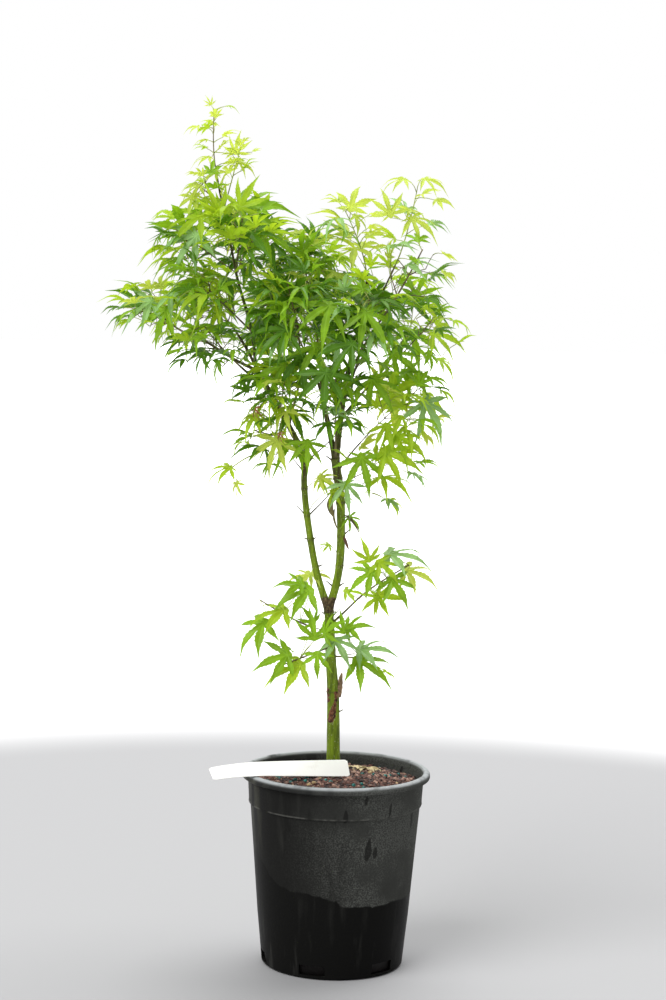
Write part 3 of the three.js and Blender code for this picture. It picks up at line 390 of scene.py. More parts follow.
# The rule that every mass grows by, as in the solids.
GROWTH = {
    "joint": 20, "stem_share": 0.55, "stem_radius": (1.3, 0.8), "twig_radius": (0.85, 0.55), "guard": 1.4,
    "joint_inset": 1.2, "twig_angle": 56, "twig_most": 32, "twig_least": 10, "leaf_angle": 60, "border": 0.4,
    "bark_radius": (1.5, 1.2),
}
# What the finished crown adds to it: side twigs at shares of the twigs, and more and closer leaves. A mass
# that is less deep than young has leaves only. Leaves stand further apart from a mass's core to its edge.
# In each round they shrink and wander more, and those under smallest are left out. Petioles are as long as
# a blade of the common length has them.
FINER = {
    "shares": (0.42, 0.78), "angle": 50, "length": (8, 18), "least": 5, "radius": (0.5, 0.38), "slack": 5,
    "rounds": 6, "young": 0.22, "core": 0.85, "edge": 0.6, "petiole": (9, 25), "petiole_radius": (0.42, 0.3),
    "limb_gap": 1.2, "shrink": 0.96, "smallest": 0.62, "wander": (0.15, 0.12), "common_blade": 40,
    "twig_gap": 0.5, "root_off": 2.6, "slim": (0.5, 0.75),
}
# The stems and twigs of these masses are thinner than the others'.
HAIR_THIN = {
    "lone_sprig": 0.5, "right_lower": 0.45, "right_hanging": 0.45, "leader_west": 0.5, "right_tip": 0.6,
}
# The twigs of these masses are as green as leaf stalks.
GREEN_TWIGS = ("lone_sprig", "leader_spur", "upper_right", "right_top")
# How much light each colour of leaf lets through.
GLOW = {"lime": 0.5, "fresh": 0.45, "mid": 0.36, "deep": 0.3, "pale": 0.25, "rusty": 0.4}
# What makes a spray's green deeper, the chance of a pale one, and the depths at which the greens change.
# Greens deepened low, inside and in a mass's core are partly painted shade; pale is painted sky reflection.
DEPTH = {"base": -0.05, "low": 0.16, "inner": 0.16, "core": 0.35, "chance": 0.40, "core_edge": 0.65}
PAINTED_SKY_SHEEN = {"chance": 0.09, "from": 0.2}
GREEN_LIMITS = ((0.14, "lime"), (0.42, "fresh"), (0.68, "mid"))
# The chance that a spray keeps its green for the next leaf, and the length under which a leaf is young.
SAME_GREEN = 0.6
YOUNG_BLADE = 26
# A stem runs on to the last place this near a root, and its tube has more sides than a twig's or stalk's.
ROOT_REACH = 4
STEM_SIDES = 6
TWIG_SIDES = 4

# Where the teeth stand along a lobe, and its outline: shares of its length and of its half width there.
LOBE_TEETH = (0.26, 0.37, 0.48, 0.59, 0.70)
LOBE_OUTLINE = (
    (0, 0.15, 0.28, 0.40, 0.50, 0.60, 0.70, 0.80, 0.90, 1),
    (0.36, 0.48, 0.72, 0.95, 1.0, 0.88, 0.62, 0.34, 0.15, 0),
)
# Each tooth's point and the notch after it: how far along the lobe, and share of the outline's width.
TOOTH = ((0.03, 1.08), (0.05, 0.88))
# How far from the palm the gaps between lobes end, where the palm is on the midrib, and how many of the
# styles are for grown leaves. The others are for young ones.
SINUS = 0.22
PALM = 0.12
GROWN_STYLES = 4
BLADE_STYLES = [
    # lobes' angles and lengths on each side, half width, droop, fold, and how the tips bend
    (((0, 1), (44, 0.92), (88, 0.68)), 0.108, 0.16, 0.35, 0.35),
    (((0, 1), (40, 0.92), (79, 0.74), (121, 0.36)), 0.086, 0.30, 0.40, 0.45),
    (((0, 1), (42, 0.92), (82, 0.74), (122, 0.36)), 0.106, 0.48, 0.35, 0.40),
    (((0, 1), (46, 0.95), (90, 0.70), (130, 0.30)), 0.098, 0.62, 0.45, 0.60),
    (((0, 1), (46, 0.88), (88, 0.60)), 0.112, 0.10, 0.55, 0.45),
    (((0, 1), (38, 0.84), (72, 0.52)), 0.104, -0.30, 0.70, 0.50),
    (((0, 1), (50, 0.92), (94, 0.60)), 0.108, 0.25, 0.50, 0.50),
    (((0, 1), (42, 0.80), (78, 0.48)), 0.104, 0.45, 0.60, 0.45),
]

# The camera's place and the floor's fade are in metres, its pitch and roll in degrees.
CAMERA = {"place": (-0.0083, -2.092, 0.626), "pitch": 5.41, "roll": 1.3, "lens": 83.23, "sensor": 36}
SUNS = {
    # direction that it shines from, width in degrees and strength
    "key_softbox": ((-0.9, -0.9, 1.3), 40, 2.7),
    "top_softbox": ((0.3, 0.8, 2.0), 50, 3.35),
}
FLOOR_RADIUS = 20000
FLOOR_HEIGHTS = (-1, -0.2)
FLOOR_SIDES = 64
FLOOR_FADE = (0.95, 1.4)
# Strength of the sky behind the maple, and as light on it.
SKY_SEEN = 1.0
SKY_LIGHT = 0.46


class MapleSizes(bpy.types.PropertyGroup):
    """Sizes of the maple's finished pieces."""

    leaf_share: bpy.props.FloatProperty(
        name="Leaf size", description="Length of each leaf against the real one", default=1.0,
        min=0.5, max=1.5, subtype="FACTOR",
    )
    leaf_spacing: bpy.props.FloatProperty(
        name="Leaf spacing", description="Least distance between the middles of two leaves",
        default=0.0125, min=0.005, max=0.04, unit="LENGTH",
    )
    relief: bpy.props.FloatProperty(
        name="Bark relief", description="Height of the ridges on the bark", default=0.00022,
        min=0, max=0.001, unit="LENGTH",
    )
    crumb: bpy.props.FloatProperty(
        name="Bark crumb", description="Length of a common crumb of the potting mix", default=0.0043,
        min=0.001, max=0.01, unit="LENGTH",
    )
    crumbs: bpy.props.FloatProperty(
        name="Crumbs", description="Crumbs on each square metre of the mix", default=125000,
        min=0, max=300000,
    )


def colour_property(name, description, default):
    return bpy.props.FloatVectorProperty(
        name=name, description=description, default=default, size=3, min=0, max=1, subtype="COLOR",
    )


class MapleColours(bpy.types.PropertyGroup):
    """Colours of the maple's finished pieces."""

    # Fresh is partly painted light on the lit side, deep partly painted shade, and pale a painted reflection
    # of the sky.
    lime: colour_property("Young leaf", "Leaves at the tips of the crown", (0.47, 0.585, 0.09))
    fresh: colour_property("Fresh leaf", "Leaves on the lit side", (0.35, 0.52, 0.024))
    mid: colour_property("Grown leaf", "Most of the leaves", (0.215, 0.40, 0.014))
    deep: colour_property("Shaded leaf", "Leaves low in the crown", (0.085, 0.21, 0.008))
    pale: colour_property("Waxy leaf", "Leaves that mirror the sky", (0.25, 0.43, 0.14))
    rusty: colour_property("Withered leaf", "The two withered leaves", (0.26, 0.115, 0.035))
    petiole: colour_property("Leaf stalk", "Stalks of the leaves", (0.34, 0.40, 0.07))
    twig: colour_property("Twig", "Thin twigs in the crown", (0.13, 0.10, 0.036))
    green_bark: colour_property("Green bark", "Trunk and both stems", (0.145, 0.212, 0.008))
    brown_bark: colour_property("Brown bark", "Boughs and old rings", (0.06, 0.040, 0.020))
    dead: colour_property("Dead leaf", "Dried leaf", (0.15, 0.125, 0.035))
    scar: colour_property("Scar", "Snag and old wounds on the trunk", (0.135, 0.05, 0.022))
    callus: colour_property("Callus", "Edges of the old wounds", (0.24, 0.19, 0.07))
    fleck: colour_property("Flecks", "Pale flecks on the bark", (0.46, 0.47, 0.26))
    plastic: colour_property("Pot plastic", "Clean plastic of the pot", (0.0085, 0.0085, 0.008))
    dust: colour_property("Dust", "Dry dust on the pot", (0.082, 0.085, 0.078))
    bloom: colour_property("Bloom", "Stain at the left of the pot", (0.075, 0.075, 0.055))
    scuff: colour_property("Scuffs", "Streaks and the edge of the collar", (0.11, 0.11, 0.10))
    # The lip colour and the light patches on top of the lip are partly painted highlight, partly wear.
    lip: colour_property("Lip", "Dull plastic of the lip", (0.12, 0.125, 0.122))
    worn_and_highlit: colour_property("Worn lip", "Rubbed patches on top of the lip", (0.42, 0.44, 0.45))
    mix: colour_property("Bark crumbs", "Common colour of the potting mix", (0.105, 0.036, 0.022))
    fresh_crumb: colour_property("Fresh crumbs", "Lighter crumbs", (0.36, 0.21, 0.155))
    chaff: colour_property("Chaff", "A few straw-coloured crumbs", (0.42, 0.30, 0.14))
    straw: colour_property("Straw", "Dry scraps on the mix", (0.60, 0.50, 0.29))
    prill: colour_property("Feed prills", "Coated feed in the potting mix", (0.01, 0.14, 0.12))
    label: colour_property("Label plastic", "The plant label", (0.98, 0.98, 0.94))
    soil: colour_property("Soil", "Soil rubbed into the label", (0.55, 0.50, 0.40))
    floor: colour_property("Floor", "The plain floor", (0.34, 0.34, 0.345))


# Node trees.


class Nodes:
    """A node tree under construction: each call adds one node."""

    def __init__(self, tree):
        self.tree = tree
        tree.nodes.clear()

    def add(self, kind, inputs=None, **settings):
        node = self.tree.nodes.new(kind)
        for key, value in settings.items():
            setattr(node, key, value)
        for key, value in (inputs or {}).items():
            if isinstance(value, bpy.types.NodeSocket):
                self.tree.links.new(value, node.inputs[key])
            else:
                node.inputs[key].default_value = value
        return node


class Finish(Nodes):
    """A material under construction."""

    def __init__(self, name):
        self.material = bpy.data.materials.new(name)
        self.material.use_nodes = True
        super().__init__(self.material.node_tree)
        self.where = self.add("ShaderNodeTexCoord").outputs["Object"]

    def noise(self, scale, detail=2.0, upright=1.0):
        """Noise, drawn out along Z where upright is under 1."""
        where = self.where
        if upright != 1:
            where = self.add("ShaderNodeMapping", {"Vector": where, "Scale": (1, 1, upright)}).outputs[0]
        inputs = {"Vector": where, "Scale": scale, "Detail": detail}
        return self.add("ShaderNodeTexNoise", inputs).outputs[0]

    def patches(self, scale, detail, low, high, upright=1.0):
        return self.ramp(self.noise(scale, detail, upright), low, high)

    def attribute(self, name):
        return self.add("ShaderNodeAttribute", attribute_name=name).outputs["Fac"]

    def axes(self):
        return self.add("ShaderNodeSeparateXYZ", {0: self.where}).outputs

    def ramp(self, value, low, high, start=0.0, end=1.0, kind="SMOOTHSTEP"):
        inputs = {"Value": value, "From Min": low, "From Max": high, "To Min": start, "To Max": end}
        return self.add("ShaderNodeMapRange", inputs, interpolation_type=kind).outputs[0]

    def sum(self, *values, operation="ADD"):
        total = values[0]
        for value in values[1:]:
            total = self.add("ShaderNodeMath", {0: total, 1: value}, operation=operation).outputs[0]
        return total

    def times(self, *values):
        return self.sum(*values, operation="MULTIPLY")

    def blend(self, share, first, second):
        ends = {0: share, 6: opaque(first), 7: opaque(second)}
        return self.add("ShaderNodeMix", ends, data_type="RGBA").outputs[2]

    def near(self, middle, reach, ragged):
        """1 inside a ball round the middle, 0 outside, with a ragged edge."""
        ends = {0: self.where, 1: [place * MM for place in middle]}
        apart = self.add("ShaderNodeVectorMath", ends, operation="DISTANCE").outputs["Value"]
        return self.ramp(self.sum(apart, ragged), (reach + BALL_EDGE) * MM, reach * MM)

    def bump(self, height, strength, distance):
        inputs = {"Height": height, "Strength": strength, "Distance": distance}
        return self.add("ShaderNodeBump", inputs).outputs[0]

    def close(self, colour, roughness, normal=None, translucent=None, share=0.0, **single):
        inputs = {"Base Color": opaque(colour), "Roughness": roughness, **single}
        if normal:
            inputs["Normal"] = normal
        shader = self.add("ShaderNodeBsdfPrincipled", inputs).outputs[0]
        if translucent:
            glow = self.add("ShaderNodeBsdfTranslucent", {"Color": opaque(translucent)}).outputs[0]
            shader = self.add("ShaderNodeMixShader", {0: share, 1: shader, 2: glow}).outputs[0]
        self.add("ShaderNodeOutputMaterial", {"Surface": shader})
        return self.material


def opaque(colour):
    return colour if isinstance(colour, bpy.types.NodeSocket) else (*colour[:3], 1.0)


def shaded(colour, share):
    return tuple(channel * share for channel in colour[:3])


# Meshes.


class Shape:
    """Points in millimetres and faces gathered for one piece, with one mark for each point."""

    def __init__(self, *first):
        self.points, self.faces, self.marks, self.count = [], [], [], 0
        if first:
            self.add(*first)

    def add(self, points, faces, marks=0.0):
        self.points.append(np.asarray(points, float))
        self.marks.append(np.broadcast_to(np.asarray(marks, float), len(points)))
        self.faces += [[i + self.count for i in face] for face in faces]
        self.count += len(points)

    def build(self, name, material=None, smooth=True, mark=None):
        mesh = bpy.data.meshes.new(name)
        mesh.from_pydata((np.vstack(self.points) * MM).tolist(), [], self.faces)
        mesh.polygons.foreach_set("use_smooth", [smooth] * len(mesh.polygons))
        if mark:
            values = mesh.attributes.new(mark, "FLOAT", "POINT")
            values.data.foreach_set("value", np.concatenate(self.marks).astype(np.float32))
        if material:
            mesh.materials.append(material)
        piece = bpy.data.objects.new(name, mesh)
        bpy.context.scene.collection.objects.link(piece)
        return piece


def finished(piece, nodes=()):
    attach(piece, "root")
    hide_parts(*nodes)
    return piece


def baked(piece):
    """The piece with its modifiers taken into its mesh."""
    bpy.context.view_layer.update()
    graph = bpy.context.evaluated_depsgraph_get()
    mesh = bpy.data.meshes.new_from_object(piece.evaluated_get(graph))
    piece.modifiers.clear()
    piece.data = mesh
    return piece


def ring_faces(rings, sides):
    """Faces between rings of points, whose order runs round the way ahead."""
    faces = []
    for ring in range(rings - 1):
        for k in range(sides):
            a, b = ring * sides + k, ring * sides + (k + 1) % sides
            faces.append((a, b, b + sides, a + sides))
    return faces


def closed_shell(rings, first, last):
    """A closed shell through rings of points, with a single point at either end."""
    sides = len(rings[0])
    faces = ring_faces(len(rings), sides)
    foot = len(rings) * sides
    top = foot - sides
    for k in range(sides):
        after = (k + 1) % sides
        faces += [(foot, after, k), (foot + 1, top + k, top + after)]
    return np.vstack([*rings, [first, last]]), faces


def turned(outline, sides):
    """A closed shell turned round Z, from an outline that starts and ends on the axis."""
    angles = np.arange(sides) * 2 * math.pi / sides
    circle = np.stack([np.cos(angles), np.sin(angles), np.zeros(sides)], 1)
    rings = [circle * radius + UP * height for radius, height in outline[1:-1]]
    return closed_shell(rings, UP * outline[0][1], UP * outline[-1][1])


def tube(points, radii, sides):
    """A closed tube along a line of points. radii has one number, or one row, for each point."""
    points = np.asarray(points, float)
    ahead = unit(np.gradient(points, axis=0))
    side = unit(np.cross(ahead[0], ASKEW))
    turns = np.arange(sides) * 2 * math.pi / sides
    radii = np.broadcast_to(np.asarray(radii, float).reshape(len(points), -1), (len(points), sides))
    rings = []
    for point, way, radius in zip(points, ahead, radii):
        side = unit(side - way * side.dot(way))
        across = np.cross(way, side)
        rings.append(
            point + (np.cos(turns) * radius)[:, None] * side + (np.sin(turns) * radius)[:, None] * across
        )
    return closed_shell(rings, points[0], points[-1])


# Geometry Nodes: one tree sets shapes out at given places, one strews them over a surface.


def copies(nodes, points, collection, pick, rotation, scale):
    shapes = nodes.add("GeometryNodeCollectionInfo", {
        "Collection": collection, "Separate Children": True, "Reset Children": True,
    })
    return nodes.add("GeometryNodeInstanceOnPoints", {
        "Points": points, "Instance": shapes.outputs[0], "Pick Instance": True, "Instance Index": pick,
        "Rotation": rotation, "Scale": scale,
    }).outputs[0]


def new_tree(name, sockets):
    tree = bpy.data.node_groups.new(name, "GeometryNodeTree")
    tree.interface.new_socket("Geometry", in_out="OUTPUT", socket_type="NodeSocketGeometry")
    for label, kind in sockets:
        tree.interface.new_socket(label, in_out="INPUT", socket_type="NodeSocket" + kind)
    nodes = Nodes(tree)
    return tree, nodes, nodes.add("NodeGroupInput").outputs


def close_tree(nodes, geometry, material):
    real = nodes.add("GeometryNodeRealizeInstances", {"Geometry": geometry}).outputs[0]
    done = nodes.add("GeometryNodeSetMaterial", {"Geometry": real, "Material": material}).outputs[0]
    nodes.add("NodeGroupOutput", {"Geometry": done})


def set_out_tree():
    """Copies of a collection's shapes at a mesh's points, turned, scaled and picked by its attributes."""
    tree, nodes, given = new_tree("Set out copies", [
        ("Places", "Geometry"), ("Shapes", "Collection"), ("Finish", "Material"),
    ])

    def named(name, kind):
        values = nodes.add("GeometryNodeInputNamedAttribute", {"Name": name}, data_type=kind)
        return values.outputs["Attribute"]

    placed = copies(
        nodes, given["Places"], given["Shapes"], named("pick", "INT"), named("turn", "FLOAT_VECTOR"),
        named("size", "FLOAT"),
    )
    close_tree(nodes, placed, given["Finish"])
    return tree


def strew_tree():
    """Copies of a collection's shapes strewn over a surface, with the surface kept under them."""
    tree, nodes, given = new_tree("Strew copies", [
        ("Surface", "Geometry"), ("Shapes", "Collection"), ("Finish", "Material"), ("Density", "Float"),
        ("Size", "Float"), ("Seed", "Int"), ("Lowest", "Float"),
    ])

    def draw(kind, low, high, out, offset):
        """A random value for each point. The node's inputs and outputs differ with the kind."""
        first = {"FLOAT_VECTOR": 0, "FLOAT": 2, "INT": 4}[kind]
        seed = nodes.add("FunctionNodeIntegerMath", {0: given["Seed"], 1: offset}).outputs[0]
        inputs = {first: low, first + 1: high, 8: seed}
        return nodes.add("FunctionNodeRandomValue", inputs, data_type=kind).outputs[out]

    place = nodes.add("GeometryNodeInputPosition").outputs[0]
    height = nodes.add("ShaderNodeSeparateXYZ", {0: place}).outputs[2]
    ends = {0: height, 1: given["Lowest"]}
    on_top = nodes.add("FunctionNodeCompare", ends, operation="GREATER_THAN").outputs[0]
    spread = nodes.add("GeometryNodeDistributePointsOnFaces", {
        "Mesh": given["Surface"], "Selection": on_top, "Density": given["Density"], "Seed": given["Seed"],
    })
    share = draw("FLOAT", *CRUMBS["sizes"], 1, 1)
    size = nodes.add("ShaderNodeMath", {0: share, 1: given["Size"]}, operation="MULTIPLY").outputs[0]
    tip = CRUMBS["tip"]
    strewn = copies(
        nodes, spread.outputs["Points"], given["Shapes"], draw("INT", 0, CRUMBS["kinds"] - 1, 2, 2),
        draw("FLOAT_VECTOR", (-tip, -tip, 0), (tip, tip, 6.28), 0, 3), size,
    )
    shade = nodes.add("GeometryNodeStoreNamedAttribute", {
        "Geometry": strewn, "Name": "shade", "Value": draw("FLOAT", 0.0, 1.0, 1, 4),
    }, data_type="FLOAT", domain="INSTANCE").outputs[0]
    both = nodes.add("GeometryNodeJoinGeometry")
    nodes.tree.links.new(given["Surface"], both.inputs[0])
    nodes.tree.links.new(shade, both.inputs[0])
    close_tree(nodes, both.outputs[0], given["Finish"])
    return tree


def grown(piece, tree, values):
    """The piece as the tree makes it, with a plain mesh."""
    modifier = piece.modifiers.new("Tree", "NODES")
    modifier.node_group = tree
    for socket in tree.interface.items_tree:
        if socket.in_out == "INPUT" and socket.name in values:
            modifier[socket.identifier] = values[socket.name]
    baked(piece)
    for name in ("turn", "size", "pick"):
        if name in piece.data.attributes:
            piece.data.attributes.remove(piece.data.attributes[name])
    return piece


def collected(name, shapes):
    """A collection of shapes to copy, in the order given."""
    collection = bpy.data.collections.new(name)
    bpy.context.scene.collection.children.link(collection)
    for shape in shapes:
        bpy.context.scene.collection.objects.unlink(shape)
        collection.objects.link(shape)
    return collection


def cleared(collection):
    for shape in list(collection.objects):
        bpy.data.objects.remove(shape)
    bpy.data.collections.remove(collection)


def set_out(name, places, shapes, material, tree):
    """A piece of many copies. Each place is a point, a frame of three unit vectors, a size and a pick."""
    points, frames, sizes, picks = zip(*places)
    mesh = bpy.data.meshes.new(name)
    mesh.from_pydata([(np.asarray(point) * MM).tolist() for point in points], [], [])
    turns = np.array([Matrix(np.stack(axes, 1).tolist()).to_euler("XYZ") for axes in frames])
    for label, kind, key, values in (
        ("turn", "FLOAT_VECTOR", "vector", turns.ravel().astype(np.float32)),
        ("size", "FLOAT", "value", np.array(sizes, np.float32)),
        ("pick", "INT", "value", np.array(picks, np.int32)),
    ):
        mesh.attributes.new(label, kind, "POINT").data.foreach_set(key, values)
    piece = bpy.data.objects.new(name, mesh)
    bpy.context.scene.collection.objects.link(piece)
    return grown(piece, tree, {"Shapes": shapes, "Finish": material})


# Limbs.


def unit(vectors):
    return vectors / np.linalg.norm(vectors, axis=-1, keepdims=True)


def leaf_axes(midrib, face):
    """Midrib, side and upper face of a blade: unit vectors at right angles."""
    midrib = unit(np.array(midrib, float))
    face = unit(face - midrib * midrib.dot(face))
    return midrib, np.cross(face, midrib), face


def in_plan(heading):
    angle = math.radians(heading)
    return np.array([math.cos(angle), math.sin(angle), 0.0])


def smooth_curve(joints):
    """The uniform Catmull-Rom curve through the joints, as a function of a share of its length."""
    joints = np.asarray(joints, float)
    before = 2 * joints[0] - joints[1]
    after = 2 * joints[-1] - joints[-2]
    padded = np.vstack([before, joints, after])

    def at(share):
        run = share * (len(joints) - 1)
        leg = min(int(run), len(joints) - 2)
        t = run - leg
        a, b, c, d = padded[leg:leg + 4]
        first, second = (c - a) / 2, (d - b) / 2
        square, cube = 3 * (c - b) - 2 * first - second, 2 * (b - c) + first + second
        return b + first * t + square * t**2 + cube * t**3

    return at


def bent_curve(start, control, end):
    def at(share):
        return start * (1 - share) ** 2 + control * 2 * share * (1 - share) + end * share**2

    return at


class Limb:
    """A limb as the solids have it: its curve, and the coarse line and radii that leaves keep clear of."""

    def __init__(self, name, limbs):
        parent, share, self.ends, legs = LIMBS[name]
        start = limbs[parent].curve(share) if parent else TRUNK_FOOT
        joints = [start]
        for rise, run, heading in legs:
            joints.append(joints[-1] + in_plan(heading) * run + UP * rise)
        if len(joints) == 2:
            joints.insert(1, (joints[0] + joints[1]) / 2)
        self.name, self.parent = name, parent
        self.curve = smooth_curve(joints)
        steps = (2 if parent else 4) * (len(joints) - 1)
        self.points = np.array([self.curve(i / steps) for i in range(steps + 1)])
        self.radii = self.radius_at(np.arange(steps + 1) / steps, self.points)

    def radius_at(self, shares, points):
        flare = 0 if self.parent else TRUNK_FLARE[0] * np.exp((TRUNK_FOOT[2] - points[:, 2]) / TRUNK_FLARE[1])
        return self.ends[0] + (self.ends[1] - self.ends[0]) * shares + flare

    def at_height(self, height):
        shares = np.linspace(0, 1, 400)
        heights = np.array([self.curve(share)[2] for share in shares])
        share = shares[np.abs(heights - height).argmin()]
        return self.curve(share), self.radius_at(np.array([share]), self.curve(share)[None])[0]


def grow_limbs():
    limbs = {}
    for name in LIMBS:
        limbs[name] = Limb(name, limbs)
    return limbs


def bark_tube(limb, step, sides, relief, seed):
    """A limb's bark: node rings, shallow ridges and lumps, and a mark for the rings."""
    draws = np.random.default_rng(seed)
    coarse = np.array([limb.curve(share) for share in np.linspace(0, 1, 200)])
    length = np.linalg.norm(np.diff(coarse, axis=0), axis=1).sum()
    shares = np.linspace(0, 1, max(6, int(length / step)))
    points = np.array([limb.curve(share) for share in shares])
    radii = limb.radius_at(shares, points)
    run = shares * length
    if limb.name in RINGS:
        rings = [
            (run[np.abs(points[:, 2] - height).argmin()], strength) for height, strength in RINGS[limb.name]
        ]
    else:
        places = np.arange(RING_STEP * 0.6, length - 4, RING_STEP)
        rings = [(place + draws.uniform(-3, 3), 1.2) for place in places]
    near = np.zeros(len(run))
    for place, strength in rings:
        near = np.maximum(near, strength * np.exp(-(((run - place) / SWELL["ring_run"]) ** 2)))
    turns = np.arange(sides) * 2 * math.pi / sides
    wave = np.zeros((len(run), sides))
    for count in (2, 3, 5, 7):
        for _ in range(2):
            pitch, phase, turn = draws.uniform(4, 16), draws.uniform(0, 6.28), draws.integers(-1, 2)
            ridges = np.sin(count * turns + phase * 3) / count
            wave += np.sin(run[:, None] / pitch + phase + turn * 1.7) * ridges
    foot = np.exp(-run / SWELL["foot_run"]) * (SWELL["foot"] if limb.parent else 0)
    bulge = 1 + (SWELL["ring"] * near + foot)[:, None] * (1 + 0.15 * np.cos(2 * turns + 1))
    slim = SLIM.get(limb.name, 1)
    shape, faces = tube(points, radii[:, None] * bulge * slim + relief * wave * slim, sides)
    return shape, faces, np.concatenate([np.repeat(near, sides), near[:1], near[-1:]])


# Masses: where they are, what grows in them, and where their leaves go.


# The numbers that seeded_draw works with stay under this.
WHOLE = 0xFFFFFFFF


def seed_of(name):
    seed = 7
    for letter in name:
        seed = (seed * 31 + ord(letter)) & WHOLE
    return seed


def seeded_draw(seed):
    """A repeatable stream of numbers, the same as in the solids."""
    state = seed & WHOLE

    def between(low, high):
        nonlocal state
        state = (state + 0x6D2B79F5) & WHOLE
        t = ((state ^ (state >> 15)) * (1 | state)) & WHOLE
        t = ((t + (t ^ (t >> 7)) * (61 | t)) & WHOLE) ^ t
        return low + (high - low) * ((t ^ (t >> 14)) & WHOLE) / (WHOLE + 1)

    return between


class Space:
    """The room that one mass of foliage has: an ellipsoid, cut where its neighbours begin."""

    def __init__(self, name):
        self.name = name
        self.limb, self.share, middle, reach, self.leaf, self.depth, self.sparse = MASSES[name]
        self.middle, self.reach = np.array(middle, float), np.array(reach, float)
        self.young = self.depth < FINER["young"]
        weight = self.reach.prod() ** (2 / 3)
        normals, offsets = [], []
        for other, (_, _, centre, other_reach, *_) in MASSES.items():
            if other == name:
                continue
            between = np.array(centre, float) - self.middle
            apart = np.linalg.norm(between)
            split = (apart**2 + weight - np.prod(other_reach) ** (2 / 3)) / (2 * apart)
            normals.append(between / apart)
            offsets.append(split - GROWTH["border"])
        self.normals, self.offsets = np.array(normals), np.array(offsets)

    def holds(self, points, slack=0.0):
        away = np.atleast_2d(points) - self.middle
        round_it = ((away / (self.reach + slack)) ** 2).sum(1) <= 1
        return bool(round_it.all() and (away @ self.normals.T <= self.offsets + slack).all())

    def room(self, point, direction):
        away = point - self.middle
        start, step = away / self.reach, direction / self.reach
        a, b, c = step @ step, start @ step, start @ start - 1
        root = b * b - a * c
        room = (math.sqrt(root) - b) / a if root > 0 else 0.0
        speed = self.normals @ direction
        ahead = speed > 1e-6
        return min([room, *((self.offsets - self.normals @ away)[ahead] / speed[ahead])])


class Stem:
    """The stem of a mass, from its limb through the middle of the space."""

    def __init__(self, name, limbs):
        self.space = space = Space(name)
        limb = limbs[space.limb]
        from_tip = space.share is None
        foot = limb.points[-1] if from_tip else limb.curve(space.share)
        to_middle = unit(space.middle - foot)
        leaving = unit(foot - limb.points[-2]) if from_tip else to_middle
        start = foot + leaving * CLEAR * 1.3 if from_tip else foot
        end = space.middle + to_middle * space.room(space.middle, to_middle) * GROWTH["stem_share"]
        self.curve = bent_curve(start, start + leaving * np.linalg.norm(start - end) / 3, end)
        fine = np.array([self.curve(share) for share in np.linspace(0, 1, 201)])
        length = np.linalg.norm(np.diff(fine, axis=0), axis=1).sum()
        self.joints = max(2, int(length / GROWTH["joint"] + 0.5))
        self.points = np.array([self.curve(i / self.joints) for i in range(self.joints + 1)])
        self.radii = np.linspace(*GROWTH["bark_radius"], self.joints + 1)


class Obstacles:
    """What a twig or a blade keeps clear of."""

    def __init__(self, lines):
        self.starts = np.vstack([line.points[:-1] for line in lines])
        self.steps = np.vstack([np.diff(line.points, axis=0) for line in lines])
        self.radii = np.concatenate([line.radii[:-1] for line in lines])
        self.squares = (self.steps**2).sum(1)

    def clear(self, points, gap):
        away = np.atleast_2d(points)[:, None] - self.starts[None]
        share = np.clip((away * self.steps).sum(2) / self.squares, 0, 1)
        apart = np.linalg.norm(away - share[..., None] * self.steps, axis=2) - self.radii
        return bool((apart > gap).all())


def pair_of(ahead, turn, lean):
    """The two opposite directions that a pair of shoots takes."""
    u = np.cross(UP, ahead)
    if u @ u < 0.01:
        u = np.array([1.0, 0, 0]) - ahead * ahead[0]
    u = unit(u)
    v = np.cross(ahead, u)
    lean = math.radians(lean)
    for half in (turn, turn + math.pi):
        across = u * math.cos(half) + v * math.sin(half)
        yield ahead * math.cos(lean) + across * math.sin(lean)


